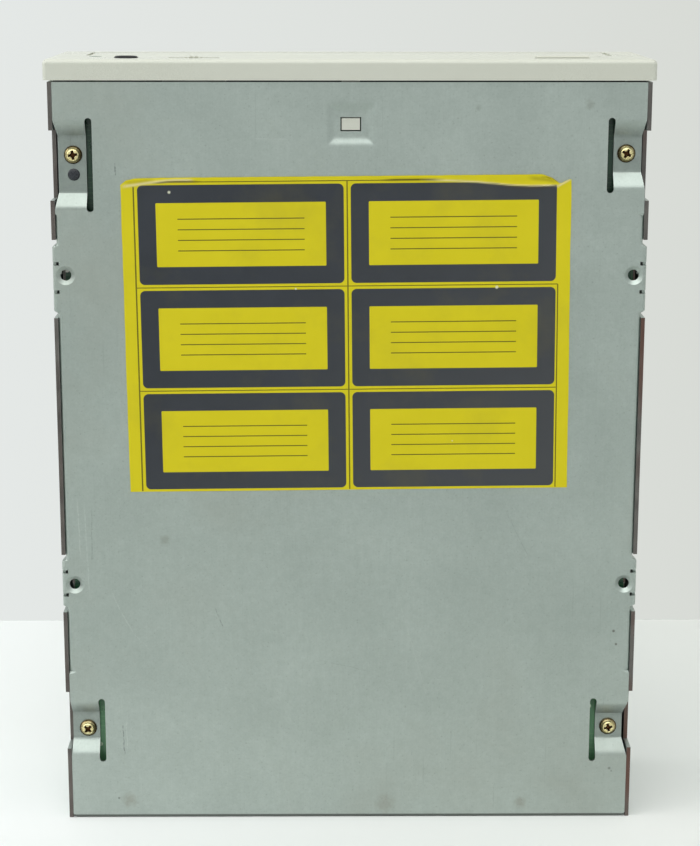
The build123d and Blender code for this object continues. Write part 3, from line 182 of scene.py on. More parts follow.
table_material, tree = empty_material("white_table")
# The table's colour is a painted shade: a little darker toward the right, and much darker toward the front.
front_shade = ramp(tree, split(tree, object_place(tree))["Y"], -0.03, -0.16)
shade = mix(tree, front_shade, shade_across(tree, (238, 240, 240), (233, 235, 232), 0.14), (198, 202, 200))
coat_with(tree, {"Base Color": shade, "Roughness": 0.55, "Specular IOR Level": 0.25})
flat_sheet("table", [
    (-table_half, -table_half, 0), (table_half, -table_half, 0),
    (table_half, table_half, 0), (-table_half, table_half, 0),
], table_material)

wall_material, tree = empty_material("pale_wall")
# The wall's colour is a painted shade, darker toward the right, away from the light on the left.
shade = shade_across(tree, (232, 236, 235), (214, 217, 211), 0.17)
wall_coat = shader_node(tree, "ShaderNodeBsdfPrincipled", {"Base Color": shade, "Roughness": 0.9})
bright_wall = shader_node(tree, "ShaderNodeEmission", {"Color": shade, "Strength": 1.0})
plain_wall = shader_node(tree, "ShaderNodeMixShader", {
    0: straight_rays(tree), 1: wall_coat.outputs[0], 2: bright_wall.outputs[0]})
one_sided = shader_node(tree, "ShaderNodeMixShader", {
    0: shader_node(tree, "ShaderNodeNewGeometry").outputs["Backfacing"], 1: plain_wall.outputs[0],
    2: shader_node(tree, "ShaderNodeBsdfTransparent").outputs[0]})
shader_node(tree, "ShaderNodeOutputMaterial", {"Surface": one_sided.outputs[0]})
flat_sheet("wall", [
    (-table_half, wall_distance, 0), (table_half, wall_distance, 0),
    (table_half, wall_distance, wall_high), (-table_half, wall_distance, wall_high),
], wall_material)


# Daylight falls from above and in front, with a weaker share from the left, so the drive's shadow
# lies softly on the table to its right. The room's pale walls and ceiling fill the rest.
lamps = (
    # a lamp's name, place, side, power in watts and tint
    ("sky_light", (-0.2, -0.45, 1.36), 1.7, 17.6, (1.0, 1.0, 0.985)),
    ("window_light", (-1.3, -0.25, 0.75), 0.8, 4.0, (1.0, 0.99, 0.97)),
)
aim_point = Vector((0, 0, 0.1))
for name, place, side, power, tint in lamps:
    lamp = bpy.data.lights.new(name, "AREA")
    lamp.size = side
    lamp.energy = power
    lamp.color = tint
    holder = bpy.data.objects.new(name, lamp)
    holder.location = place
    holder.rotation_mode = "QUATERNION"
    holder.rotation_quaternion = (aim_point - Vector(place)).to_track_quat("-Z", "Y")
    scene.collection.objects.link(holder)

room = bpy.data.worlds.new("bright_room")
room.use_nodes = True
tree = room.node_tree
tree.nodes.clear()
seen = shader_node(tree, "ShaderNodeBackground", {"Color": paint(229, 233, 232), "Strength": 1.0})
direction = split(tree, shader_node(tree, "ShaderNodeTexCoord").outputs["Generated"])
ceiling = ramp(tree, direction["Z"], 0.15, 0.9, 0.87, 0.35)
dim_front = ramp(tree, direction["Y"], -0.25, -0.9, 1.0, 0.82)
lit = shader_node(tree, "ShaderNodeBackground", {
    "Color": (0.97, 0.99, 1.0, 1.0), "Strength": number(tree, "MULTIPLY", ceiling, dim_front)})
choice = shader_node(tree, "ShaderNodeMixShader", {
    0: straight_rays(tree), 1: lit.outputs[0], 2: seen.outputs[0]})
shader_node(tree, "ShaderNodeOutputWorld", {"Surface": choice.outputs[0]})
scene.world = room


# The bottom plate is pressed from zinc-plated sheet steel. Its surface is satin, with a faint
# rolling grain, fine scratches from handling and brownish marks where it was touched.
def effect_group(name, inputs, outputs):
    """A node group for an effect that finishes share, with the sockets of its inputs and outputs."""
    group = bpy.data.node_groups.new(name, "ShaderNodeTree")
    for socket, kind, start in inputs:
        made = group.interface.new_socket(socket, in_out="INPUT", socket_type="NodeSocket" + kind)
        if start is not None:
            made.default_value = start
    for socket in outputs:
        group.interface.new_socket(socket, in_out="OUTPUT", socket_type="NodeSocketFloat")
    return group, group.nodes.new("NodeGroupInput").outputs, group.nodes.new("NodeGroupOutput").inputs


def effect(tree, group, values):
    """The mask of a shared effect, placed in a material with its own values."""
    return shader_node(tree, "ShaderNodeGroup", values, node_tree=group).outputs[0]


def vector(tree, operation, first, second=None):
    """A sum on vectors in a shader tree."""
    values = {0: first}
    if second is not None:
        values[1] = second
    made = shader_node(tree, "ShaderNodeVectorMath", values, operation=operation)
    return made.outputs["Value" if operation in ("DOT_PRODUCT", "DISTANCE", "LENGTH") else "Vector"]


# Edges of a painted or plated piece are rubbed bright first.
worn_edges, given, result = effect_group("worn_edges", [
    ("Radius", "Float", 0.0004), ("Amount", "Float", 1.0), ("Vector", "Vector", None)], ["Mask"])
soft_edge = shader_node(worn_edges, "ShaderNodeBevel", {"Radius": given["Radius"]}, samples=4)
true_face = shader_node(worn_edges, "ShaderNodeNewGeometry")
bent = number(worn_edges, "SUBTRACT", 1.0, vector(
    worn_edges, "DOT_PRODUCT", soft_edge.outputs[0], true_face.outputs["Normal"]))
patchy = clouds(worn_edges, given["Vector"], 420.0, 3.0)
rubbed = number(worn_edges, "MULTIPLY", number(worn_edges, "MULTIPLY", bent, 5.0), patchy)
mask = number(worn_edges, "MULTIPLY", rubbed, given["Amount"], clamp=True)
worn_edges.links.new(mask, result["Mask"])

# Fine scratches run mostly one way and come and go.
fine_scratches, given, result = effect_group("fine_scratches", [
    ("Vector", "Vector", None), ("Stretch", "Vector", (1400.0, 1400.0, 25.0)), ("Amount", "Float", 0.5),
], ["Mask"])
stretched = vector(fine_scratches, "MULTIPLY", given["Vector"], given["Stretch"])
lines = clouds(fine_scratches, stretched, 1.0, 2.0)
where_scratched = clouds(fine_scratches, given["Vector"], 28.0, 2.0)
both = number(fine_scratches, "MULTIPLY", ramp(fine_scratches, lines, 0.66, 0.74), ramp(
    fine_scratches, where_scratched, 0.48, 0.62))
mask = number(fine_scratches, "MULTIPLY", both, given["Amount"], clamp=True)
fine_scratches.links.new(mask, result["Mask"])

# Handling leaves soft clouds of grime, darker in the middle.
handling_marks, given, result = effect_group("handling_marks", [
    ("Vector", "Vector", None), ("Scale", "Float", 30.0), ("Amount", "Float", 0.5)], ["Mask"])
smear = clouds(handling_marks, given["Vector"], given["Scale"], 5.0, Roughness=0.62)
heavy = ramp(handling_marks, smear, 0.52, 0.78)
mask = number(handling_marks, "MULTIPLY", heavy, given["Amount"], clamp=True)
handling_marks.links.new(mask, result["Mask"])


def finish(
    name, light, dark, rough=(0.4, 0.5), metallic=0.0, cloud=60.0, grain=(2500.0, 0.00001),
    stretch=(1.0, 1.0, 1.0), edge=None, edge_radius=0.0004, edge_amount=1.0,
    scratch=(0.0, (1400.0, 1400.0, 25.0)), scratch_tone=None, grime=0.0, grime_tone=(90, 84, 72), **sockets
):
    """A finish made from two near tones in clouds, a fine grain, worn edges, scratches and grime."""
    material, tree = empty_material(name)
    where = object_place(tree)
    drawn = shader_node(tree, "ShaderNodeMapping", {"Vector": where, "Scale": stretch}).outputs[0]
    height = clouds(tree, drawn, grain[0], 3.0)
    mixed = number(tree, "ADD", number(tree, "MULTIPLY", clouds(tree, where, cloud, 4.0), 0.6),
                   number(tree, "MULTIPLY", height, 0.4))
    tone = mix(tree, ramp(tree, mixed, 0.35, 0.65), dark, light)
    roughness = ramp(tree, mixed, 0.35, 0.65, *rough)
    if grime:
        marks = effect(tree, handling_marks, {"Vector": where, "Scale": cloud * 0.5, "Amount": grime})
        tone = mix(tree, marks, tone, grime_tone)
        roughness = number(tree, "ADD", roughness, number(tree, "MULTIPLY", marks, 0.2))
    if scratch[0]:
        scratches = effect(tree, fine_scratches, {
            "Vector": where, "Stretch": scratch[1], "Amount": scratch[0]})
        tone = mix(tree, scratches, tone, scratch_tone or light)
        height = number(tree, "SUBTRACT", height, number(tree, "MULTIPLY", scratches, 0.8))
    if edge:
        tone = mix(tree, effect(tree, worn_edges, {
            "Radius": edge_radius, "Amount": edge_amount, "Vector": where}), tone, edge)
    bump = shader_node(tree, "ShaderNodeBump", {"Height": height, "Strength": 1.0, "Distance": grain[1]})
    coat_with(tree, {
        "Base Color": tone, "Roughness": roughness, "Metallic": metallic, "Normal": bump.outputs[0],
        **sockets})
    return material


def open_finish(material):
    """A finish's tree, its shader and the colour that it has so far, for a piece that adds its own marks."""
    coat = next(node for node in material.node_tree.nodes if node.type == "BSDF_PRINCIPLED")
    return material.node_tree, coat, coat.inputs["Base Color"].links[0].from_socket


def dress(names, material):
    """Gives the frame's own pieces a material."""
    for name in names:
        slots = nodes[name].data.materials
        slots.clear()
        slots.append(material)


plate_steel = finish(
    "zinc_plated_sheet", (184, 194, 188), (171, 181, 175), rough=(0.38, 0.48), metallic=0.85,
    cloud=45.0, grain=(1800.0, 0.000006), edge=(205, 210, 206), edge_radius=0.0003, edge_amount=0.5,
    scratch=(0.25, (1500.0, 1500.0, 30.0)), scratch_tone=(120, 126, 122),
    grime=0.35, grime_tone=(128, 126, 112),
)

plate_strokes = (
    # a scratch's start and end (across, up in mm), its half width, strength and tone
    ((-57.1, 170.4), (-57.0, 167.0), 0.12, 0.75, (84, 92, 88)),
    ((-68.6, 86.4), (-68.1, 69.9), 0.1, 0.5, (208, 214, 208)),
    ((-66.9, 85.6), (-66.1, 59.3), 0.1, 0.45, (204, 212, 206)),
    ((-65.0, 84.3), (-65.3, 68.3), 0.09, 0.45, (112, 120, 114)),
    ((-34.3, 57.4), (-33.3, 54.4), 0.1, 0.6, (104, 110, 106)),
    ((-33.3, 54.4), (-32.1, 51.5), 0.1, 0.55, (104, 110, 106)),
    ((-60.7, 61.9), (-58.3, 56.1), 0.1, 0.45, (202, 210, 204)),
    ((-58.3, 56.1), (-55.1, 50.2), 0.1, 0.45, (202, 210, 204)),
    ((-55.1, 50.2), (-51.1, 45.9), 0.1, 0.4, (202, 210, 204)),
    ((-23.7, 176.0), (-14.5, 175.9), 0.09, 0.5, (198, 206, 200)),
    ((-58.6, 26.3), (-58.2, 16.7), 0.11, 0.75, (104, 110, 106)),
    ((-57.6, 26.9), (-57.5, 18.6), 0.09, 0.45, (206, 212, 206)),
    ((12.3, 60.2), (20.8, 30.0), 0.08, 0.3, (196, 204, 198)),
    ((39.2, 82.9), (45.8, 69.7), 0.08, 0.3, (116, 122, 118)),
    ((-8.1, 43.1), (5.8, 39.8), 0.08, 0.3, (118, 124, 120)),
)
plate_spots = (
    # a stain's or dot's middle, its radius, strength and tone
    ((-46.7, 75.1), 1.7, 0.3, (120, 116, 100)),
    ((67.6, 50.7), 0.5, 0.75, (84, 84, 76)),
    ((68.3, 47.2), 0.36, 0.7, (88, 86, 78)),
    ((67.6, 13.3), 0.5, 0.55, (92, 94, 88)),
    ((68.1, 12.5), 0.35, 0.5, (96, 98, 92)),
    ((-57.2, 4.8), 2.2, 0.3, (126, 112, 92)),
    ((9.3, 3.5), 3.0, 0.25, (124, 112, 94)),
    ((44.5, 3.9), 1.8, 0.3, (122, 110, 92)),
    ((57.9, 184.2), 1.4, 0.28, (118, 116, 104)),
    ((30.9, 183.4), 1.0, 0.28, (112, 112, 102)),
    ((-60.0, 5.3), 0.35, 0.6, (86, 92, 86)),
)

stroke_mark, given, result = effect_group("stroke_mark", [
    ("Vector", "Vector", None), ("Start", "Vector", (0, 0, 0)), ("End", "Vector", (1, 0, 0)),
    ("Half Width", "Float", 0.1), ("Amount", "Float", 0.5)], ["Mask"])
wobble = shader_node(stroke_mark, "ShaderNodeTexNoise", {
    "Vector": given["Vector"], "Scale": 0.35, "Detail": 2.0})
moved = vector(stroke_mark, "MULTIPLY", wobble.outputs["Color"], (0.6, 0.0, 0.6))
start_gap = vector(stroke_mark, "SUBTRACT", given["Vector"], given["Start"])
start_gap = vector(stroke_mark, "ADD", start_gap, moved)
start_gap = vector(stroke_mark, "SUBTRACT", start_gap, (0.3, 0.0, 0.3))
whole = vector(stroke_mark, "SUBTRACT", given["End"], given["Start"])
reached = vector(stroke_mark, "DOT_PRODUCT", start_gap, whole)
along = number(stroke_mark, "DIVIDE", reached, vector(stroke_mark, "DOT_PRODUCT", whole, whole), clamp=True)
nearest = shader_node(stroke_mark, "ShaderNodeVectorMath", {0: whole, "Scale": along}, operation="SCALE")
away = vector(stroke_mark, "DISTANCE", start_gap, nearest.outputs[0])
away = number(stroke_mark, "DIVIDE", away, given["Half Width"])
close = number(stroke_mark, "SUBTRACT", 1.0, away, clamp=True)
taper = number(stroke_mark, "MULTIPLY", along, number(stroke_mark, "SUBTRACT", 1.0, along))
taper = number(stroke_mark, "MULTIPLY", taper, 8.0, clamp=True)
uneven = ramp(stroke_mark, clouds(stroke_mark, given["Vector"], 1.3, 2.0), 0.35, 0.55)
drawn = number(stroke_mark, "MULTIPLY", number(stroke_mark, "MULTIPLY", close, taper), uneven)
mask = number(stroke_mark, "MULTIPLY", drawn, given["Amount"], clamp=True)
stroke_mark.links.new(mask, result["Mask"])

spot_mark, given, result = effect_group("spot_mark", [
    ("Vector", "Vector", None), ("Middle", "Vector", (0, 0, 0)), ("Radius", "Float", 1.0),
    ("Amount", "Float", 0.5)], ["Mask"])
wobble = number(spot_mark, "MULTIPLY", clouds(spot_mark, given["Vector"], 0.8, 4.0), 1.4)
away = vector(spot_mark, "DISTANCE", given["Vector"], given["Middle"])
share = number(spot_mark, "ADD", number(spot_mark, "DIVIDE", away, given["Radius"]), wobble)
soft = ramp(spot_mark, share, 1.75, 1.0)
mask = number(spot_mark, "MULTIPLY", soft, given["Amount"], clamp=True)
spot_mark.links.new(mask, result["Mask"])

tree, coat, tone = open_finish(plate_steel)
flat_place = vector(tree, "MULTIPLY", object_place(tree), (1000, 0, 1000))
mottle = clouds(tree, flat_place, 0.42, 6.0, Roughness=0.7)
drawn = shader_node(tree, "ShaderNodeMapping", {"Vector": flat_place, "Scale": (3.2, 0.0, 0.05)}).outputs[0]
mixed = number(tree, "ADD", number(tree, "MULTIPLY", mottle, 0.78), number(
    tree, "MULTIPLY", clouds(tree, drawn, 1.0, 3.0), 0.22))
tone = mix(tree, ramp(tree, mixed, 0.36, 0.64, 0.0, 0.3), tone, (150, 160, 154))
tone = mix(tree, ramp(tree, clouds(tree, flat_place, 1.7, 2.0), 0.62, 0.72, 0.0, 0.4), tone, (136, 144, 138))
for start, end, half, amount, colour in plate_strokes:
    tone = mix(tree, effect(tree, stroke_mark, {
        "Vector": flat_place, "Start": (start[0], 0, start[1]), "End": (end[0], 0, end[1]),
        "Half Width": half * 2, "Amount": amount}), tone, colour)
for middle, radius, amount, colour in plate_spots:
    tone = mix(tree, effect(tree, spot_mark, {
        "Vector": flat_place, "Middle": (middle[0], 0, middle[1]), "Radius": radius, "Amount": amount,
    }), tone, colour)
# The screw tabs are darkened by dirt and by painted shade in their recesses and upper creases.
dusty = shader_node(tree, "ShaderNodeAttribute", attribute_name="dusty").outputs["Fac"]
uneven = number(tree, "ADD", number(tree, "MULTIPLY", mottle, 0.5), 0.35)
tone = mix(tree, number(tree, "MULTIPLY", dusty, uneven, clamp=True), tone, (112, 120, 116))
# The plate's lowest strip is painted dark: painted shadow where it meets the table, with its grimy cut edge.
low_rim_shadow = ramp(tree, split(tree, flat_place)["Z"], 0.85, 0.65, 0.0, 0.9)
tree.links.new(mix(tree, low_rim_shadow, tone, (88, 92, 88)), coat.inputs["Base Color"])

plate_half_width = 71.9
plate_outer = -20.65
plate_sheet = 0.8
plate_rear = 0.12
plate_front = 189.6
sheet_wave = 0.04
wave_length = 30.0
fold_radius = 0.9
fold_length = fold_radius * math.pi / 2
flange_height = 14.0
flange_range = (40.0, 157.2)
pad_ranges = ((57.4, 69.8), (133.4, 150.0))
pad_step = 1.1
pad_ease = 0.4
pad_ramp = 0.7
mount_x = 69.85
mount_rows = (63.35, 142.6)
mount_side_height = 10.0
mount_radius = 1.35
dimple_radius = 2.35
dimple_depth = 0.75
dimple_rings = (1.6, 1.85, 2.1, 2.35, 2.6)
relief_cuts = (138.5, 145.5, 60.6, 66.7)
relief_half = 0.45
relief_reach = (-0.5, 2.2)
slot_radius = 0.86
tab_depth = 2.4
tab_roll = 0.3
tab_folds = {
    # side and end: the slot's place across, its rear end, the tab's flat part from and to, the slot's
    # front end, how far the tab's edge is set in, its ramps' length, and where its screw sits
    (-1, "front"): (63.35, 158.2, 162.7, 176.65, 181.0, 0.82, 3.8, (67.4, 171.95)),
    (1, "front"): (63.45, 162.85, 167.75, 176.6, 181.1, 0.75, 4.1, (67.4, 172.3)),
    (-1, "rear"): (63.85, 15.4, 21.1, 28.1, 32.6, 0.3, 4.3, (67.7, 23.9)),
    (1, "rear"): (62.95, 15.2, 20.9, 27.6, 32.5, 1.15, 4.2, (67.15, 24.05)),
}
slot_inner = 62.5
screw_hole_radius = 1.6
pin_x = 67.35
pin_z = 167.1
pin_hole_radius = 1.5
window_hole = (-2.33, 2.69, 177.8, 181.2)
window_flat = (-3.53, 3.89, 176.6, 182.4)
window_slope = 2.4
window_depth = 0.6
edge_spacing = 0.8
round_spacing = 0.4
straight_spacing = 0.3
grid_step = 2.5
row_step = 2
fold_steps = 6
edge_clear = 1.2
blank_gap = 0.22
ring_clear = 2.75


def ease(share):
    """Runs smoothly from 0 to 1."""
    share = min(max(share, 0.0), 1.0)
    return share * share * (3 - 2 * share)


def pad_share(z):
    """1 where a mounting pad stands out of the flange and 0 elsewhere."""
    return max(
        ease((z - low) / pad_ramp + 0.5) * ease((high - z) / pad_ramp + 0.5) for low, high in pad_ranges)


def press_depth(x, z):
    """How deep the press pushed the flat plate in at a point: screw tabs, dimples and the snap's hollow."""
    side = 1 if x > 0 else -1
    for end in ("front", "rear"):
        across, _, flat_low, flat_high, _, _, slope, _ = tab_folds[side, end]
        rise = min(1 - (flat_low - z) / slope, 1 - (z - flat_high) / slope, 1.0)
        if abs(x) > across and rise > 0:
            soft = tab_roll * tab_roll / 2
            bent = rise * rise / 2 if rise < tab_roll else soft + (rise - tab_roll) * tab_roll
            return tab_depth * bent / (soft + (1 - tab_roll) * tab_roll)
    for row in mount_rows:
        away = math.hypot(abs(x) - mount_x, z - row)
        if away < dimple_radius:
            return dimple_depth * min((dimple_radius - away) / (dimple_radius - mount_radius), 1.0)
    beyond = max(window_flat[0] - x, x - window_flat[1], window_flat[2] - z, z - window_flat[3])
    return window_depth * ease(1 - beyond / window_slope)


def tab_dust_and_shade(x, z):
    """How dark a screw tab is painted, as dirt and painted shade: most in its upper crease and upper ramp,
    where shade falls, and a light painted shade on the front tabs' lower ramps.
    """
    for end in ("front", "rear"):
        across, _, flat_low, flat_high, _, _, slope, _ = tab_folds[1 if x > 0 else -1, end]
        if end == "front" and abs(x) > across and flat_low - slope < z <= flat_low:
            return 0.3
        if abs(x) > across and flat_low < z < flat_high + slope:
            if z > flat_high:
                return ease((flat_high + slope - z) / slope)
            return 0.72 + 0.28 * ease(1 - (flat_high - z) / 1.2)
    return 0.0


def fold_plate(across, z):
    """Where a point of the flat blank lies on the plate's outer face once the side flanges are folded."""
    side = 1 if across > 0 else -1
    start = plate_half_width - fold_radius + pad_step * pad_share(z)
    past = abs(across) - start
    wave = sheet_wave * noise.noise(Vector((across / wave_length, z / wave_length, 0.5)))
    if past <= 0 or not flange_range[0] <= z <= flange_range[1]:
        return Vector((across, plate_outer + wave + press_depth(across, z), z)) / 1000
    if past < fold_length:
        turn = past / fold_radius
        x, y = start + fold_radius * math.sin(turn), plate_outer + fold_radius * (1 - math.cos(turn))
    else:
        x, y = start + fold_radius, plate_outer + fold_radius + past - fold_length
    return Vector((side * x, y + wave, z)) / 1000


def ring(x, z, radius, count=28):
    """Points of a round hole in the blank."""
    return [
        (x + radius * math.cos(2 * math.pi * step / count), z + radius * math.sin(2 * math.pi * step / count))
        for step in range(count)
    ]


def capsule(x, low, high, radius, count=12):
    """Points of a long slot with round ends in the blank."""
    points = []
    for centre, first in ((high - radius, 0.0), (low + radius, math.pi)):
        for step in range(count + 1):
            angle = first + math.pi * step / count
            points.append((x + radius * math.cos(angle), centre + radius * math.sin(angle)))
    return points


def fine_line(points, spacing):
    """The same closed line with points no further apart than the spacing."""
    line = []
    for (x0, z0), (x1, z1) in zip(points, points[1:] + points[:1]):
        parts = max(1, math.ceil(math.hypot(x1 - x0, z1 - z0) / spacing))
        line += [(x0 + (x1 - x0) * part / parts, z0 + (z1 - z0) * part / parts) for part in range(parts)]
    return line


def inside(point, loop):
    """True if a point is inside a closed line."""
    x, z = point
    found = False
    for (x0, z0), (x1, z1) in zip(loop, loop[1:] + loop[:1]):
        if (z0 > z) != (z1 > z) and x < x0 + (x1 - x0) * (z - z0) / (z1 - z0):
            found = not found
    return found


def new_piece(name, points, faces, material, **marks):
    """A visible piece from its points and faces, with any marks that its material reads at each point."""
    mesh = bpy.data.meshes.new(name)
    mesh.from_pydata(points, [], faces)
    mesh.materials.append(material)
    for mark, values in marks.items():
        mesh.attributes.new(mark, "FLOAT", "POINT").data.foreach_set("value", values)
    piece = bpy.data.objects.new(name, mesh)
    scene.collection.objects.link(piece)
    return piece


def settle(piece, sharp_angle=38):
    """Applies a piece's modifiers and shades it smooth between its sharp edges."""
    depsgraph = bpy.context.evaluated_depsgraph_get()
    made = bpy.data.meshes.new_from_object(piece.evaluated_get(depsgraph))
    piece.modifiers.clear()
    piece.data = made
    made.name = piece.name
    made.shade_smooth()
    made.set_sharp_from_angle(angle=math.radians(sharp_angle))


def thicken(piece, thickness, even):
    """Gives a surface its sheet's thickness, inwards from its outer face."""
    solid = piece.modifiers.new("thickness", "SOLIDIFY")
    solid.thickness = thickness / 1000
    solid.offset = -1
    solid.use_even_offset = even


def pressed_sheet(name, outline, holes, inner_points, place, thickness, material, **marks):
    """Sheet metal: a blank with holes, pressed and folded by place, then thickened inwards."""
    points, edges = [], []
    for loop in [outline] + holes:
        first = len(points)
        points += [Vector(point) for point in loop]
        edges += [(first + step, first + (step + 1) % len(loop)) for step in range(len(loop))]
    points += [Vector(point) for point in inner_points]
    flat, _, triangles, *_ = delaunay_2d_cdt(points, edges, [], 1, 1e-5)
    boxes = []
    for hole in holes:
        across, along = [x for x, _ in hole], [z for _, z in hole]
        boxes.append((min(across), max(across), min(along), max(along)))
    kept = []
    for triangle in triangles:
        x = sum(flat[corner].x for corner in triangle) / 3
        z = sum(flat[corner].y for corner in triangle) / 3
        if not any(
            box[0] < x < box[1] and box[2] < z < box[3] and inside((x, z), hole)
            for box, hole in zip(boxes, holes)
        ):
            kept.append(triangle)
    values = {mark: [amount(point.x, point.y) for point in flat] for mark, amount in marks.items()}
    sheet = new_piece(name, [place(point.x, point.y) for point in flat], kept, material, **values)
    thicken(sheet, thickness, True)
    settle(sheet, 24)
    return sheet


plate_outline = []
wide = plate_half_width - fold_radius + fold_length + flange_height - fold_radius
for side in (1, -1):
    edge = [(plate_half_width - 1.0, plate_rear), (plate_half_width - 0.3, plate_rear + 0.3),
            (plate_half_width, plate_rear + 1.0)]
    for end in ("rear", "front"):
        if end == "front":
            edge += [(plate_half_width, flange_range[0]), (wide, flange_range[0])]
            for low, high in pad_ranges:
                edge += [(wide, low - pad_ease), (wide + pad_step, low + pad_ease),
                         (wide + pad_step, high - pad_ease), (wide, high + pad_ease)]
            edge += [(wide, flange_range[1]), (plate_half_width, flange_range[1])]
        _, _, flat_low, flat_high, _, inset, slope, _ = tab_folds[side, end]
        for z, share in ((flat_low - slope, 0), (flat_low, 1), (flat_high, 1), (flat_high + slope, 0)):
            edge.append((plate_half_width - share * inset, z))
    edge.append((plate_half_width, plate_front))
    plate_outline += [(side * x, z) for x, z in (edge if side > 0 else reversed(edge))]
plate_outline = fine_line(plate_outline, edge_spacing)

plate_holes = [fine_line([
    (window_hole[0], window_hole[2]), (window_hole[1], window_hole[2]),
    (window_hole[1], window_hole[3]), (window_hole[0], window_hole[3]),
], 0.5)]
for side in (-1, 1):
    for end in ("front", "rear"):
        across, slot_low, _, _, slot_high, _, _, screw = tab_folds[side, end]
        plate_holes.append(fine_line(capsule(side * across, slot_low, slot_high, slot_radius), round_spacing))
        plate_holes.append(ring(side * screw[0], screw[1], screw_hole_radius))
    for row in mount_rows:
        plate_holes.append(ring(side * mount_x, row, mount_radius))
        reach = plate_half_width - fold_radius + pad_step + fold_length + mount_side_height - fold_radius
        plate_holes.append(ring(side * reach, row, mount_radius))
    for row in relief_cuts:
        across = sorted(side * (plate_half_width + reach) for reach in relief_reach)
        plate_holes.append(fine_line([
            (across[0], row - relief_half), (across[1], row - relief_half),
            (across[1], row + relief_half), (across[0], row + relief_half),
        ], straight_spacing))
plate_holes.append(ring(-pin_x, pin_z, pin_hole_radius))

fine_places = [(window_flat[0] - 2.8, window_flat[1] + 2.8, window_flat[2] - 2.8, window_flat[3] + 2.8, 0.4)]
for side in (-1, 1):
    for end in ("front", "rear"):
        across = sorted((side * slot_inner, side * (plate_half_width - 0.2)))
        fine_places.append((*across, tab_folds[side, end][1] - 1.0, tab_folds[side, end][4] + 1.0, 0.4))
    for row in mount_rows:
        across = sorted((side * (mount_x - 3.2), side * (plate_half_width + 2.6)))
        fine_places.append((*across, row - 10.0, row + 8.5, 0.35))
blank_points = []
for low_x, high_x, low_z, high_z, step in fine_places:
    for row in range(int((high_z - low_z) / step)):
        for column in range(int((high_x - low_x) / step)):
            x, z = low_x + (column + 0.5) * step, low_z + (row + 0.5) * step
            if min(math.hypot(abs(x) - mount_x, z - hole) for hole in mount_rows) > ring_clear:
                blank_points.append((x, z))
for side in (-1, 1):
    for row in mount_rows:
        for radius in dimple_rings:
            blank_points += ring(side * mount_x, row, radius, 32)
fold_lines = [
    plate_half_width - fold_radius + fold_length * step / fold_steps for step in range(fold_steps + 1)
]
flat_columns = int((plate_half_width - edge_clear) / grid_step)
flange_columns = int((wide - plate_half_width) / grid_step)
for row in range(1, int(plate_front / row_step) + 1):
    z = row_step * row
    columns = [grid_step * column for column in range(-flat_columns, flat_columns + 1)]
    if flange_range[0] < z < flange_range[1]:
        columns += [side * line for line in fold_lines for side in (-1, 1)]
        columns += [
            side * (plate_half_width + grid_step * step)
            for step in range(1, flange_columns + 1) for side in (-1, 1)
        ]
    for x in columns:
        if not any(box[0] < x < box[1] and box[2] < z < box[3] for box in fine_places):
            blank_points.append((x, z))


def clear_of(points, loops, gap):
    """The points that are not too near any of the lines."""
    cells = {}
    for loop in loops:
        for x, z in loop:
            cells.setdefault((int(x // 1), int(z // 1)), []).append((x, z))
    kept = []
    for x, z in points:
        near = [
            p for i in (-1, 0, 1) for k in (-1, 0, 1)
            for p in cells.get((int(x // 1) + i, int(z // 1) + k), ())
        ]
        if all(math.hypot(x - px, z - pz) > gap for px, pz in near):
            kept.append((x, z))
    return kept


blank_points = [p for p in blank_points if inside(p, plate_outline)]
blank_points = clear_of(blank_points, [plate_outline] + plate_holes, blank_gap)
bottom_plate = pressed_sheet(
    "pressed_plate", plate_outline, plate_holes, blank_points, fold_plate, plate_sheet, plate_steel,
    dusty=tab_dust_and_shade,
)
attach(bottom_plate, "root")
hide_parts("bottom_plate")


# The top cover is bent from the same zinc-plated sheet. Its top is stamped with a shallow panel and a
# ring over the clamper, which stiffen it. Its cut edges are grey with brown rust in places, and those facing
# the front are painted darker still as painted shade, where they sit back in the notches.
panel_middle = (0.0, 93.0)
panel_half = (60.0, 80.0)
panel_corner = 9.0
panel_slope = 2.2
ring_middle = (0.0, 120.0)
ring_radius = 21.0
ring_half = 2.4
stamp_depth = 0.8
cover_half = 73.0
cover_top = 20.65
cover_low = -20.65
cover_sheet = 1.0
cover_front = 189.6
cover_fold = 1.2
cover_bend = cover_fold * math.pi / 2
cover_rear_low = -5.85
cover_relief = 71.5
relief_wide = 0.9
relief_past = 0.1
cover_sway = 0.03
sway_length = 40.0
cover_grid = 3.0
bend_clear = 0.6
stamp_steps = 6
stamp_gap = 0.7
outline_gap = 0.3
cover_openings = (
    # an opening in the side walls' lower edge: from and to along the drive, and its height
    (19.0, 34.5, 6.5), (56.0, 71.2, 17.0), (132.0, 151.4, 17.0), (161.0, 178.0, 6.5),
)


def over_panel(x, z):
    """How far a point lies out past the stamped panel's rounded middle part."""
    over_x = max(abs(x - panel_middle[0]) - panel_half[0] + panel_corner, 0.0)
    over_z = max(abs(z - panel_middle[1]) - panel_half[1] + panel_corner, 0.0)
    return math.hypot(over_x, over_z)


def stamp(x, z):
    """How deep the press pushed the cover's top in: a panel inside a flat border, with a raised ring."""
    border = ease((over_panel(x, z) - panel_corner + panel_slope) / panel_slope)
    away = abs(math.hypot(x - ring_middle[0], z - ring_middle[1]) - ring_radius)
    raised = ease(1 - away / ring_half)
    return stamp_depth * (1 - max(border, raised))


def bend(past):
    """How far a folded strip runs out and in, once past the start of its fold."""
    if past < cover_bend:
        return cover_fold * math.sin(past / cover_fold), cover_fold * (1 - math.cos(past / cover_fold))
    return cover_fold, cover_fold + past - cover_bend


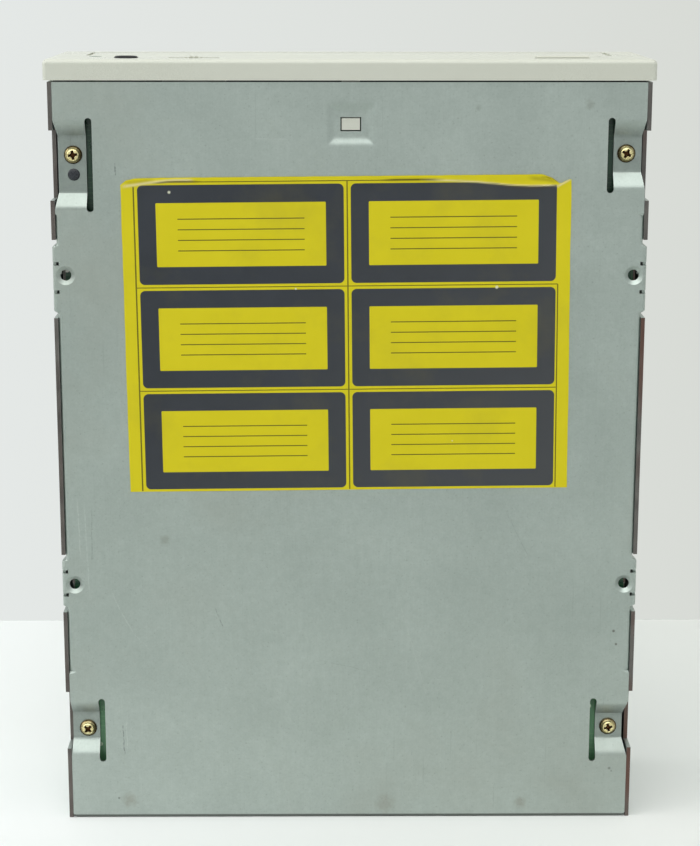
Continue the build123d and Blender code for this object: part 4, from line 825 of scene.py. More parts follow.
def fold_cover(across, z):
    """Where a point of the cover's blank lies once its side walls and its rear wall are folded down."""
    side = -1 if across > 0 else 1
    past = abs(across) - cover_half + cover_fold
    sway = cover_sway * (1 + noise.noise(Vector((across / sway_length, z / sway_length, 2.5))))
    if past > 0:
        out, drop = bend(past)
        x = side * (cover_half - cover_fold + out - sway * min(past / 20, 1))
        return Vector((x, cover_top - drop, z)) / 1000
    if z < cover_fold:
        out, drop = bend(cover_fold - z)
        return Vector((-across, cover_top - drop, cover_fold - out)) / 1000
    return Vector((-across, cover_top - stamp(across, z) - sway, z)) / 1000


wall_low = cover_half - cover_fold + cover_bend + cover_top - cover_fold - cover_low
rear_end = cover_fold - cover_bend - (cover_top - cover_fold - cover_rear_low)
cover_outline = []
for side in (1, -1):
    edge = [(cover_relief, rear_end), (cover_relief, cover_fold + relief_past),
            (cover_relief + relief_wide, cover_fold + relief_past),
            (cover_relief + relief_wide, 0.0), (wall_low, 0.0)]
    for low, high, tall in cover_openings:
        edge += [(wall_low, low), (wall_low - tall, low), (wall_low - tall, high), (wall_low, high)]
    edge += [(wall_low, cover_front)]
    cover_outline += [(side * x, z) for x, z in (edge if side > 0 else reversed(edge))]
cover_outline = fine_line(cover_outline, 1.2)

stamp_points = []
for step in range(stamp_steps + 1):
    corner = panel_corner - panel_slope * step / stamp_steps
    loop = []
    for quarter, (to_x, to_z) in enumerate(((1, 1), (-1, 1), (-1, -1), (1, -1))):
        for part in range(9):
            angle = math.pi / 2 * (quarter + part / 8)
            loop.append((
                panel_middle[0] + to_x * (panel_half[0] - panel_corner) + corner * math.cos(angle),
                panel_middle[1] + to_z * (panel_half[1] - panel_corner) + corner * math.sin(angle)))
    stamp_points += fine_line(loop, 1.6)
    stamp_points += ring(*ring_middle, ring_radius + ring_half * (2 * step / stamp_steps - 1), 96)
cover_points = []
fold_start = cover_half - cover_fold
bends = [cover_bend * step / fold_steps for step in range(fold_steps + 1)]
wall_columns = int(wall_low / cover_grid)
for row in range(int(rear_end / cover_grid), int(cover_front / cover_grid) + 1):
    z = cover_grid * row
    grid = [cover_grid * column for column in range(-wall_columns, wall_columns + 1)]
    columns = [x for x in grid if abs(x) < fold_start - bend_clear]
    if z > 0:
        columns += [x for x in grid if abs(x) > fold_start + cover_bend + bend_clear]
        columns += [side * (fold_start + past) for past in bends for side in (-1, 1)]
    off_rear_fold = z > cover_fold + bend_clear or z < cover_fold - cover_bend - bend_clear
    cover_points += [(x, z) for x in columns if off_rear_fold or abs(x) > cover_half]
rear_columns = int(cover_relief / cover_grid)
for column in range(-rear_columns, rear_columns + 1):
    cover_points += [(cover_grid * column, cover_fold - past) for past in bends]
cover_points = clear_of(cover_points, [stamp_points], stamp_gap)
cover_points = [p for p in cover_points if inside(p, cover_outline)]
cover_points = clear_of(cover_points, [cover_outline], outline_gap) + stamp_points

cover_steel = finish(
    "zinc_plated_cover", (190, 200, 195), (178, 188, 183), rough=(0.36, 0.48), metallic=0.8,
    cloud=30.0, grain=(1500.0, 0.000006), edge=(110, 108, 104), edge_radius=0.0005, edge_amount=0.8,
    scratch=(0.3, (1500.0, 1500.0, 25.0)), scratch_tone=(120, 124, 122),
    grime=0.35, grime_tone=(110, 104, 94),
)
tree, coat, tone = open_finish(cover_steel)
where = object_place(tree)
flat_place = vector(tree, "MULTIPLY", where, (1000, 1000, 1000))
drawn = shader_node(tree, "ShaderNodeMapping", {"Vector": flat_place, "Scale": (3.2, 3.2, 0.05)}).outputs[0]
tone = mix(tree, ramp(tree, clouds(tree, drawn, 1.0, 3.0), 0.36, 0.64, 0.0, 0.3), tone, (150, 160, 154))
toward = split(tree, shader_node(tree, "ShaderNodeNewGeometry").outputs["True Normal"])
# Cut edges that face the front are painted dark: their grey steel and rust, with painted shade where they sit
# back in the notches.
shaded_cut_face = ramp(tree, toward["Y"], -0.9, -0.99)
raw = mix(tree, clouds(tree, where, 160.0, 5.0), (62, 60, 58), (134, 130, 126))
right_side = ramp(tree, split(tree, flat_place)["X"], -60.0, 60.0, 0.2, 1.0)
rusty = number(tree, "MULTIPLY", ramp(tree, clouds(tree, where, 32.0, 3.0), 0.45, 0.6), right_side)
tree.links.new(mix(tree, shaded_cut_face, tone, mix(tree, rusty, raw, (104, 80, 72))), coat.inputs["Base Color"])
top_cover = pressed_sheet(
    "pressed_cover", cover_outline, [], cover_points, fold_cover, cover_sheet, cover_steel,
)
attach(top_cover, "root")
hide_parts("top_cover")


# The bezel, the tray's front, the eject button and the volume wheel are moulded in cream plastic. A fine
# groove along the bezel face's lower edge is drawn as a thin line of painted shade, and its edges are rubbed
# a little lighter.
groove_shade_y = -19.75
groove_shade_half = 0.07
bezel_face = 194.75
cream = finish(
    "cream_moulding", (206, 208, 196), (201, 203, 190), rough=(0.24, 0.36), cloud=25.0,
    grain=(4200.0, 0.000012), edge=(216, 217, 206), edge_radius=0.0003, edge_amount=0.2,
    grime=0.18, grime_tone=(170, 166, 148),
)
tree, coat, tone = open_finish(cream)
place = split(tree, object_place(tree))
# A thin dark line of painted shade on the face stands for the fine groove along its lower edge.
away = number(tree, "ABSOLUTE", number(tree, "SUBTRACT", place["Y"], groove_shade_y / 1000))
on_groove_shade = number(tree, "LESS_THAN", away, groove_shade_half / 1000)
on_face = number(tree, "GREATER_THAN", place["Z"], bezel_face / 1000)
line = number(tree, "MULTIPLY", number(tree, "MULTIPLY", on_groove_shade, on_face), 0.5)
tree.links.new(mix(tree, line, tone, (120, 120, 108)), coat.inputs["Base Color"])
dress(["bezel", "tray_front", "eject_button"], cream)
wheel_cream = finish(
    "wheel_moulding", (196, 198, 184), (186, 188, 172), rough=(0.4, 0.52), cloud=120.0,
    grain=(3600.0, 0.00001), edge=(222, 222, 210), edge_radius=0.0002, edge_amount=0.6,
    grime=0.5, grime_tone=(120, 116, 100),
)
dress(["volume_wheel"], wheel_cream)


# The headphone jack's threaded collar stands a little out of the bezel. It is a black plastic turned
# ring with a rounded rim around the plug's hole.
collar_place = (-54.5, -13.2)
collar_profile = (
    # radius and height of each ring of the collar in mm
    (1.78, 187.0), (1.78, 194.9), (1.86, 195.2), (2.1, 195.4), (2.5, 195.42), (2.75, 195.3), (2.85, 195.05),
    (2.85, 193.0),
)
weld_reach = 0.01


def ring_faces(loops, spokes, first=0):
    """The faces between rings of points that follow each other."""
    faces = []
    for loop in range(loops - 1):
        for spoke in range(spokes):
            here, after = first + loop * spokes + spoke, first + loop * spokes + (spoke + 1) % spokes
            faces.append((here, here + spokes, after + spokes, after))
    return faces


def close_tips(piece, sharp_angle=38):
    """Joins the points that lie together where a round piece closes, and finishes it."""
    join_points = piece.modifiers.new("join_points", "WELD")
    join_points.merge_threshold = weld_reach / 1000
    settle(piece, sharp_angle)


def turned_piece(name, middle, profile, spokes, material):
    """A round piece along the drive's length, from rings of a radius and a height."""
    points = [Vector((x, y, z)) / 1000 for radius, z in profile for x, y in ring(*middle, radius, spokes)]
    faces = [(here, after, above, start) for here, start, above, after in ring_faces(len(profile), spokes)]
    piece = new_piece(name, points, faces, material)
    close_tips(piece)
    return piece


collar_plastic = finish(
    "collar_plastic", (44, 44, 46), (30, 30, 32), rough=(0.5, 0.62), cloud=300.0, grain=(3000.0, 0.00001),
    edge=(86, 86, 88), edge_radius=0.00015, edge_amount=0.5, grime=0.2, **{"Specular IOR Level": 0.25},
)
collar = turned_piece("jack_collar", collar_place, collar_profile, 64, collar_plastic)
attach(collar, "root")


# The small lamp's end lies nearly flush in the bezel. It is a domed green-tinted lens, dull when off,
# and is moulded in one with the lamp's body behind it.
lens_place = (-62.6, -7.4)
lens_profile = (
    (1.7, 191.0), (1.7, 194.93), (1.64, 195.0), (1.3, 195.07), (0.8, 195.12), (0.4, 195.14), (0.0, 195.15),
)
lamp_green = finish(
    "lamp_lens", (124, 138, 120), (106, 122, 102), rough=(0.18, 0.26), cloud=400.0, grain=(3000.0, 0.000003),
    **{"Coat Weight": 0.4},
)
lamp_lens = turned_piece("lamp_lens", lens_place, lens_profile, 40, lamp_green)
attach(lamp_lens, "root")


# The label is a thin yellow printed film, glued on a little askew. Its top edge was lifted once and
# lies in creases, worn pale along their ridges. Six dark frames hold blank ruled panels for notes.
label_centre = (-0.6, 127.05)
label_turn = math.radians(0.55)
label_half_width = 54.9
label_low = -38.8
label_thickness = 0.12
label_clear = 0.02
label_highest = 0.19
frame_columns = (-25.75, 26.25)
frame_rows = (25.95, 0.0, -25.95)
frame_half_width = 25.15
frame_half_height = 12.25
frame_border = 4.4
frame_corner = 1.3
inner_corner = 0.25
print_blur = 0.06
rule_spacing = 2.6
rule_half_length = 15.5
rule_width = 0.28
thin_lines = (
    # whether the line runs across, its place, its two ends and its width
    (False, -51.8, -38.6, 37.9, 0.38), (False, 0.24, -38.6, 38.9, 0.34), (False, 51.9, -38.6, 12.9, 0.3),
    (True, 38.9, -47.0, 22.0, 0.24), (True, 12.975, -51.8, 51.9, 0.24), (True, -12.975, -51.8, 51.9, 0.24),
)
label_specks = ((-43.1, 36.45, 0.3), (36.9, 12.3, 0.3), (-12.6, 12.4, 0.2), (26.0, -26.4, 0.18))
crease_lines = (
    # points along the ridge across and up the label, its height and its half width
    (((-54.88, 37.9), (-51.6, 38.3), (-47.7, 38.87), (-41.9, 39.35), (-37.0, 39.3)), 0.17, 0.42),
    (((18.0, 39.0), (24.0, 38.75), (32.0, 38.3), (39.8, 37.45), (45.0, 37.2), (51.5, 37.3)), 0.17, 0.26),
    (((51.3, 36.9), (54.8, 38.8)), 0.13, 0.3),
)
dark_folds = (
    # valleys beside the ridges, which lie in shade
    (((-47.5, 38.6), (-43.4, 39.0), (-40.7, 39.05), (-35.0, 38.95)), 0.2, 1.0),
    (((8.0, 38.95), (13.4, 39.0), (18.8, 39.0), (24.0, 38.95)), 0.26, 1.0),
    (((44.0, 39.3), (48.0, 38.75), (52.2, 37.9)), 0.5, 0.4),
    (((46.9, 39.6), (50.3, 38.95), (52.3, 37.75)), 0.16, 0.8),
    (((33.5, 38.15), (39.8, 37.1), (45.0, 36.85), (51.4, 36.8)), 0.22, 0.7),
    (((-54.6, 38.6), (-51.0, 39.0), (-46.0, 39.6)), 0.45, 0.35),
    (((51.2, 36.6), (51.25, 30.0)), 0.14, 0.45),
)


def from_ridge(x, z, points):
    """How far a point is from a crease line, and how far along the line it is."""
    best, along, walked = 1e9, 0.0, 0.0
    total = sum(math.dist(a, b) for a, b in zip(points, points[1:]))
    for (x0, z0), (x1, z1) in zip(points, points[1:]):
        length = math.dist((x0, z0), (x1, z1))
        share = min(max(((x - x0) * (x1 - x0) + (z - z0) * (z1 - z0)) / length ** 2, 0.0), 1.0)
        away = math.hypot(x - x0 - share * (x1 - x0), z - z0 - share * (z1 - z0))
        if away < best:
            best, along = away, (walked + share * length) / total
        walked += length
    return best, along


def label_relief(x, z):
    """Height of the label's film above the plate at a point, and how sharp the crease is there."""
    height = 0.02 + 0.025 * noise.noise(Vector((x / 14, z / 9, 3.1)))
    crest = 0.0
    for points, tall, half in crease_lines:
        away, along = from_ridge(x, z, points)
        fade = ease(min(along, 1 - along) / 0.12 + 0.35)
        shape = math.exp(-((away / half) ** 2))
        height += tall * fade * (shape * 0.7 + 0.3 * math.exp(-((away / (3 * half)) ** 2)))
        crest = max(crest, fade * shape)
    height += 0.05 * ease((z - 38.2) / 1.2) * (1 + noise.noise(Vector((x / 5, 0.3, 8.0))))
    return max(height, 0.0), crest


def label_folded(x, z):
    """1 where the film's top strip lies folded over the printed frames."""
    for points in (crease_lines[0][0], crease_lines[1][0]):
        for (x0, z0), (x1, z1) in zip(points, points[1:]):
            if x0 <= x < x1:
                return ease((z - z0 - (z1 - z0) * (x - x0) / (x1 - x0)) / 0.15 + 0.5)
    return 0.0


def label_shade(x, z):
    """How dark the label is in the valleys of its folds."""
    shade = 0.0
    for points, half, amount in dark_folds:
        away, along = from_ridge(x, z, points)
        fade = ease(min(along, 1 - along) / 0.3 + 0.15)
        shade = max(shade, amount * fade * math.exp(-((away / half) ** 2)))
    return shade


top_edge = (
    (-54.9, 38.3), (-53.5, 39.45), (-51.5, 39.87), (-45.7, 40.0), (0.8, 39.97), (47.9, 39.97),
    (50.25, 39.1), (52.2, 37.65), (53.4, 38.3), (54.7, 38.85), (54.9, 38.6),
)


def label_top(x):
    """Height of the label's top edge: a rounded corner on the left and a torn dip at the right end."""
    for (x0, z0), (x1, z1) in zip(top_edge, top_edge[1:]):
        if x <= x1:
            return z0 + (z1 - z0) * (x - x0) / (x1 - x0) + 0.06 * noise.noise(Vector((x / 3, 2.0, 4.0)))
    return top_edge[-1][1]


label_columns = 230
label_rows = 176
fine_share = 0.3
points, crests, folds, shades, faces = [], [], [], [], []
cos_turn, sin_turn = math.cos(label_turn), math.sin(label_turn)
for row in range(label_rows + 1):
    share = row / label_rows
    share = share * (1 + fine_share) - fine_share * share * share
    for column in range(label_columns + 1):
        x = label_half_width * (2 * column / label_columns - 1)
        unevenness = 0.12 * noise.noise(Vector((0.7, share * 9, math.copysign(5.0, x))))
        x += unevenness * (abs(x) / label_half_width) ** 8
        z = label_low + (label_top(x) - label_low) * share
        lift, crest = label_relief(x, z)
        crests.append(crest)
        folds.append(label_folded(x, z))
        shades.append(label_shade(x, z))
        y = plate_outer - label_clear - label_thickness - min(lift, label_highest)
        points.append(Vector((
            label_centre[0] + x * cos_turn - z * sin_turn, y, label_centre[1] + x * sin_turn + z * cos_turn,
        )) / 1000)
for row in range(label_rows):
    for column in range(label_columns):
        first = row * (label_columns + 1) + column
        faces.append((first, first + 1, first + label_columns + 2, first + label_columns + 1))

label_film, tree = empty_material("label_film")
where = object_place(tree)
centred = shader_node(tree, "ShaderNodeMapping", {
    "Vector": where, "Location": (-label_centre[0] / 1000, 0, -label_centre[1] / 1000)}, vector_type="POINT")
level = shader_node(tree, "ShaderNodeVectorRotate", {
    "Vector": centred.outputs[0], "Axis": (0, 1, 0), "Angle": label_turn}, rotation_type="AXIS_ANGLE")
label_place = vector(tree, "MULTIPLY", level.outputs[0], (1000, 1000, 1000))
label_x, _, label_z = split(tree, label_place)

printed_frame, given, result = effect_group("printed_frame", [
    ("Across", "Float", 0.0), ("Up", "Float", 0.0), ("Middle", "Vector", (0, 0, 0)),
    ("Half", "Vector", (1, 0, 1)), ("Corner", "Float", 1.0), ("Border", "Float", 1.0)], ["Ink", "Rules"])
middle, half = split(printed_frame, given["Middle"]), split(printed_frame, given["Half"])
rise = number(printed_frame, "SUBTRACT", given["Up"], middle["Z"])
from_x = number(printed_frame, "ABSOLUTE", number(printed_frame, "SUBTRACT", given["Across"], middle["X"]))
from_z = number(printed_frame, "ABSOLUTE", rise)


def edge_distance(corner, inset):
    """Distance to a rounded rectangle's edge, inset from the frame's own size."""
    shrink = number(printed_frame, "ADD", corner, inset)
    over_x = number(printed_frame, "SUBTRACT", from_x, number(printed_frame, "SUBTRACT", half["X"], shrink))
    over_z = number(printed_frame, "SUBTRACT", from_z, number(printed_frame, "SUBTRACT", half["Z"], shrink))
    out_x = number(printed_frame, "MAXIMUM", over_x, 0.0)
    out_z = number(printed_frame, "MAXIMUM", over_z, 0.0)
    outside = number(printed_frame, "SQRT", number(
        printed_frame, "ADD", number(printed_frame, "MULTIPLY", out_x, out_x),
        number(printed_frame, "MULTIPLY", out_z, out_z)))
    within = number(printed_frame, "MINIMUM", number(printed_frame, "MAXIMUM", over_x, over_z), 0.0)
    return number(printed_frame, "SUBTRACT", number(printed_frame, "ADD", outside, within), corner)


within_outer = ramp(printed_frame, edge_distance(given["Corner"], 0.0), print_blur, -print_blur)
past_inner = ramp(printed_frame, edge_distance(inner_corner, given["Border"]), -print_blur, print_blur)
printed_frame.links.new(number(printed_frame, "MULTIPLY", within_outer, past_inner), result["Ink"])
from_gap = number(printed_frame, "ADD", rise, rule_spacing / 2)
from_rule = number(printed_frame, "PINGPONG", from_gap, rule_spacing / 2)
on_rule = number(printed_frame, "LESS_THAN", from_rule, rule_width / 2)
short = number(printed_frame, "LESS_THAN", from_x, rule_half_length)
few = number(printed_frame, "LESS_THAN", from_z, rule_spacing * 2)
rules = number(printed_frame, "MULTIPLY", on_rule, number(printed_frame, "MULTIPLY", short, few))
printed_frame.links.new(rules, result["Rules"])

ink, rule_ink, lines = 0.0, 0.0, 0.0
for middle_x in frame_columns:
    for middle_z in frame_rows:
        printed = shader_node(tree, "ShaderNodeGroup", node_tree=printed_frame, values={
            "Across": label_x, "Up": label_z, "Middle": (middle_x, 0, middle_z),
            "Half": (frame_half_width, 0, frame_half_height), "Corner": frame_corner, "Border": frame_border,
        }).outputs
        ink = number(tree, "MAXIMUM", printed["Ink"], ink)
        rule_ink = number(tree, "MAXIMUM", printed["Rules"], rule_ink)
for across_line, place, start, end, width in thin_lines:
    value, other = (label_z, label_x) if across_line else (label_x, label_z)
    away = number(tree, "ABSOLUTE", number(tree, "SUBTRACT", value, place))
    from_middle = number(tree, "ABSOLUTE", number(tree, "SUBTRACT", other, (start + end) / 2))
    line = number(tree, "MULTIPLY", number(tree, "LESS_THAN", away, width / 2), number(
        tree, "LESS_THAN", from_middle, (end - start) / 2))
    lines = number(tree, "MAXIMUM", line, lines)
fade = clouds(tree, where, 90.0, 5.0, Roughness=0.6)
faded = ramp(tree, number(tree, "SUBTRACT", label_x, label_z), -40.0, 80.0, 0.0, 0.8)
slate = mix(tree, faded, mix(tree, fade, (44, 48, 53), (56, 60, 67)), (70, 72, 74))
folded, crest, shade = (
    shader_node(tree, "ShaderNodeAttribute", attribute_name=name).outputs["Fac"]
    for name in ("folded", "crest", "shade")
)
unfolded = number(tree, "SUBTRACT", 1.0, folded)
lines = number(tree, "MULTIPLY", lines, unfolded)
thin = number(tree, "MULTIPLY", number(tree, "MAXIMUM", lines, rule_ink), 0.8)
film = mix(tree, thin, mix(tree, fade, (207, 194, 8), (217, 203, 18)), (60, 58, 14))
film = mix(tree, number(tree, "MULTIPLY", ink, unfolded), film, slate)
rubbed = number(tree, "MULTIPLY", number(tree, "POWER", crest, 1.6), number(
    tree, "ADD", number(tree, "MULTIPLY", fade, 0.9), 0.45), clamp=True)
film = mix(tree, rubbed, film, (226, 214, 160))
film = mix(tree, number(tree, "MULTIPLY", shade, 0.85), film, (66, 56, 6))
for x, z, radius in label_specks:
    film = mix(tree, effect(tree, spot_mark, {
        "Vector": label_place, "Middle": (x, plate_outer - 0.2, z), "Radius": radius * 1.5, "Amount": 0.9,
    }), film, (222, 222, 196))
film = mix(tree, effect(tree, handling_marks, {
    "Vector": where, "Scale": 60.0, "Amount": 0.16}), film, (120, 112, 50))
rough_skin = shader_node(tree, "ShaderNodeBump", {
    "Height": clouds(tree, where, 1500.0, 2.0), "Strength": 1.0, "Distance": 0.000005})
coat_with(tree, {
    "Base Color": film, "Roughness": ramp(tree, fade, 0.3, 0.7, 0.34, 0.5), "Specular IOR Level": 0.3,
    "Normal": rough_skin.outputs[0]})

label = new_piece("note_label", points, faces, label_film, crest=crests, folded=folds, shade=shades)
thicken(label, label_thickness, False)
settle(label)
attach(label, "root")
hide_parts("label_sheet")


# Four pan-head machine screws hold the plate's tabs to the bosses. They are steel, plated with yellow
# zinc, with a little dirt. The tapered cross recess is painted dark as painted shade, and the foot of the
# head darker as a painted reflection of the dark surroundings.
head_seat = -18.25
head_radius = 2.2
head_tall = 1.5
head_rim = 0.45
head_step = 0.075
dome_radius = 1.6
shank_radius = 1.3
shank_length = 6.5
cross_half = 1.15
cross_slot = 0.36
cross_web = 0.95
cross_deep = 0.85
head_turns = {(-1, "front"): 8, (1, "front"): 62, (-1, "rear"): 48, (1, "rear"): 12}


def head_height(x, z):
    """Height of the screw's head over its seat, and how dark it is painted there: a little dirt, painted
    shade in the cross recess and a painted dark reflection on the foot of the head.
    """
    away = math.hypot(x, z)
    if away > dome_radius:
        share = (away - dome_radius) / (head_radius - dome_radius)
        tall = head_rim + 0.3 - 0.62 * share ** 1.3
        dirt_and_shade = 0.4 + 0.45 * ease(share * 1.3)
    else:
        share = away / dome_radius
        tall = head_rim + 0.3 + (head_tall - head_rim - 0.3) * math.sqrt(max(1 - share ** 3.2, 0.0))
        dirt_and_shade = 0.4 * ease((share - 0.95) / 0.05)
    first = max(abs(x) - cross_half, abs(z) - cross_slot)
    second = max(abs(z) - cross_half, abs(x) - cross_slot)
    depth = min(first, second, abs(x) + abs(z) - cross_web)
    if depth < 0:
        tall -= cross_deep * min(-depth / 0.3, 1.0)
        dirt_and_shade = max(dirt_and_shade, min(-depth / 0.16, 1.0))
    return tall, dirt_and_shade


yellow_zinc = finish(
    "yellow_zinc_plating", (238, 228, 176), (214, 198, 138), rough=(0.2, 0.34), metallic=0.85, cloud=500.0,
    grain=(3000.0, 0.000004), edge=(246, 240, 214), edge_radius=0.00018, edge_amount=1.0,
)
tree, coat, tone = open_finish(yellow_zinc)
# The head is painted darker with dirt, with painted shade in its recess and a painted dark reflection on its
# foot.
soil = shader_node(tree, "ShaderNodeAttribute", attribute_name="soil").outputs["Fac"]
tree.links.new(mix(tree, soil, tone, (70, 42, 14)), coat.inputs["Base Color"])

points, faces, soils = [], [], []
head_rings = [(head_step * step, None) for step in range(30)] + [
    (head_radius, None), (head_radius + 0.02, head_rim * 0.6), (head_radius, 0.0),
    (shank_radius, 0.0), (shank_radius, -shank_length), (0.0, -shank_length - 0.6),
]
spokes = 88
for (side, end), turn in head_turns.items():
    across, row = tab_folds[side, end][7]
    cosine, sine = math.cos(math.radians(turn)), math.sin(math.radians(turn))
    faces += ring_faces(len(head_rings), spokes, len(points))
    for radius, fixed in head_rings:
        for x, z in ring(0, 0, radius, spokes):
            tall, dirt_and_shade = (fixed, 0.5) if fixed is not None else head_height(x, z)
            points.append(Vector((
                side * across + x * cosine - z * sine, head_seat - tall, row + x * sine + z * cosine)) / 1000)
            soils.append(dirt_and_shade)
screws = new_piece("screw_set", points, faces, yellow_zinc, soil=soils)
close_tips(screws, 50)
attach(screws, "root")
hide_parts("frame_screws")


# The loader frame's locating pin stands in the tab beside the left upper screw. It is moulded in
# black plastic with a slightly domed end, polished by handling.
pin_radius = 1.45
pin_foot = -18.2
pin_rise = 0.42
pin_loops = 10
pin_spokes = 48
pin_plastic = finish(
    "polished_black", (42, 46, 52), (30, 34, 40), rough=(0.22, 0.35), cloud=300.0, grime=0.25,
)
points = []
for loop in range(pin_loops + 1):
    lean = loop / pin_loops * math.pi / 2
    for x, z in ring(-pin_x, pin_z, pin_radius * math.sin(lean), pin_spokes):
        points.append(Vector((x, pin_foot - pin_rise * math.cos(lean), z)) / 1000)
pin_dome = new_piece("pin_dome", points, ring_faces(pin_loops + 1, pin_spokes), pin_plastic)
close_tips(pin_dome)
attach(pin_dome, "root")


# The main board is fibreglass with a green solder mask. It is painted paler near its rear edge as painted
# light and dark toward the front as painted shade. Copper tracks show through as lighter lines, and tinned
# through-holes sit on the usual grid.
track_cell = 0.0076
track_pitch = 0.00127
track_half = 0.00016
pad_pitch = 0.00254
pad_radius = 0.0006
painted_light_range = (0.042, 0.034)
painted_shade_range = (0.13, 0.158)
board_mask = finish(
    "green_solder_mask", (46, 106, 74), (34, 88, 60), rough=(0.25, 0.36), cloud=200.0,
    grain=(2600.0, 0.000004), edge=(150, 160, 110), edge_radius=0.0003, edge_amount=0.5,
    grime=0.2, grime_tone=(60, 84, 60),
)
tree, coat, tone = open_finish(board_mask)
where = object_place(tree)
place = split(tree, where)
cells = vector(tree, "SNAP", where, (track_cell, 1.0, track_cell))
chance = shader_node(tree, "ShaderNodeTexWhiteNoise", {"Vector": cells}).outputs["Value"]
runs_across = number(tree, "GREATER_THAN", chance, 0.45)
way = shader_node(tree, "ShaderNodeMix", {
    "Factor": runs_across, "A": place["X"], "B": place["Z"]}, data_type="FLOAT")
off_track = number(tree, "PINGPONG", way.outputs[0], track_pitch / 2)
track = number(tree, "MULTIPLY", number(tree, "LESS_THAN", off_track, track_half), number(
    tree, "LESS_THAN", chance, 0.86))
grid = vector(tree, "SNAP", where, (pad_pitch, 1.0, pad_pitch))
pad_chance = shader_node(tree, "ShaderNodeTexWhiteNoise", {"Vector": grid}).outputs["Value"]
in_cell = vector(tree, "SUBTRACT", where, grid)
from_pad = vector(tree, "SUBTRACT", in_cell, (pad_pitch / 2, 0.0, pad_pitch / 2))
pad_away = vector(tree, "LENGTH", vector(tree, "MULTIPLY", from_pad, (1.0, 0.0, 1.0)))
pad = number(tree, "MULTIPLY", number(tree, "LESS_THAN", pad_away, pad_radius), number(
    tree, "GREATER_THAN", pad_chance, 0.88))
tone = mix(tree, number(tree, "MULTIPLY", track, 0.55), tone, (82, 138, 92))
tone = mix(tree, pad, tone, (196, 196, 188))
# Painted light makes the mask paler near the rear edge, and painted shade makes it dark toward the front.
tone = mix(tree, ramp(tree, place["Z"], *painted_light_range, 0.0, 0.5), tone, (112, 164, 118))
tone = mix(tree, ramp(tree, place["Z"], *painted_shade_range, 0.0, 0.72), tone, (14, 24, 20))
tree.links.new(tone, coat.inputs["Base Color"])
tree.links.new(number(tree, "MULTIPLY", pad, 0.9), coat.inputs["Metallic"])
dress(["main_board"], board_mask)


# The chips are moulded in matt black epoxy with a fine grain, greyer along their edges. They are
# soldered flat on the main board.
chip_epoxy = finish(
    "chip_epoxy", (42, 42, 44), (30, 30, 32), rough=(0.55, 0.7), cloud=260.0, grain=(5200.0, 0.000012),
    edge=(74, 74, 76), edge_radius=0.0002, edge_amount=0.5,
)
dress(["board_chips"], chip_epoxy)


# The electrolytic capacitors are aluminium cans in a shrunk dark blue sleeve. They stand on the main
# board, and their ends stay bare.
can_sleeve = finish(
    "capacitor_sleeve", (34, 44, 92), (24, 32, 74), rough=(0.25, 0.35), cloud=220.0, grain=(2400.0, 0.000006),
    edge=(96, 104, 140), edge_radius=0.0002, edge_amount=0.4,
)
tree, coat, tone = open_finish(can_sleeve)
facing = split(tree, shader_node(tree, "ShaderNodeNewGeometry").outputs["True Normal"])
bare_end = number(tree, "GREATER_THAN", number(tree, "ABSOLUTE", facing["Y"]), 0.8)
tree.links.new(mix(tree, bare_end, tone, (196, 198, 200)), coat.inputs["Base Color"])
tree.links.new(number(tree, "MULTIPLY", bare_end, 0.95), coat.inputs["Metallic"])
dress(["board_capacitors"], can_sleeve)


# The data, audio and jumper shrouds are glass-filled black plastic. The power shroud is white nylon.
# All are soldered along the board's rear edge, and a small blue cap sits on the jumper's pins.
shroud_black = finish(
    "shroud_plastic", (46, 46, 48), (34, 34, 36), rough=(0.42, 0.56), cloud=180.0, grain=(3200.0, 0.00001),
    edge=(92, 92, 94), edge_radius=0.00025, edge_amount=0.6, grime=0.35, grime_tone=(92, 86, 76),
)
dress(["data_connector", "audio_connector", "jumper_block"], shroud_black)
cap_blue = finish(
    "jumper_plastic", (52, 74, 140), (38, 58, 120), rough=(0.35, 0.45), cloud=300.0, grain=(3200.0, 0.000008),
    edge=(110, 124, 170), edge_radius=0.0002, edge_amount=0.5,
)
dress(["jumper_cap"], cap_blue)
shroud_white = finish(
    "shroud_nylon", (226, 224, 214), (212, 209, 196), rough=(0.36, 0.5), cloud=140.0,
    grain=(2600.0, 0.000008), edge=(238, 238, 232), edge_radius=0.0003, edge_amount=0.4,
    grime=0.3, grime_tone=(176, 166, 140),
    **{"Subsurface Weight": 0.08, "Subsurface Radius": (0.002, 0.0016, 0.001)},
)
dress(["power_connector"], shroud_white)


# The thin pins are gold flashed. The power pins are solid brass, tinned, with dull wiping marks. They
# are pressed through their shrouds into the board.
pin_gold = finish(
    "gold_flash", (230, 200, 120), (206, 172, 92), rough=(0.2, 0.34), metallic=1.0, cloud=900.0,
    grain=(5200.0, 0.000003), scratch=(0.4, (3000.0, 3000.0, 200.0)), scratch_tone=(160, 130, 80),
)
dress(["data_pins", "audio_pins"], pin_gold)
pin_tin = finish(
    "tinned_pin", (206, 207, 205), (178, 180, 178), rough=(0.24, 0.4), metallic=1.0, cloud=700.0,
    grain=(4200.0, 0.000004), scratch=(0.4, (2600.0, 2600.0, 160.0)), scratch_tone=(128, 128, 126),
)
dress(["power_pins"], pin_tin)


# The jack's body, the eject switch, its plunger, the lamp's holder and the tray's switch are small black
# mouldings with dust on them in patches.
small_black = finish(
    "small_moulding", (40, 40, 42), (28, 28, 30), rough=(0.38, 0.55), cloud=240.0, grain=(3600.0, 0.000009),
    edge=(84, 84, 86), edge_radius=0.0002, edge_amount=0.5, grime=0.4, grime_tone=(104, 100, 92),
)
dress(["headphone_jack", "eject_switch", "eject_plunger", "lamp_holder", "tray_switch"], small_black)


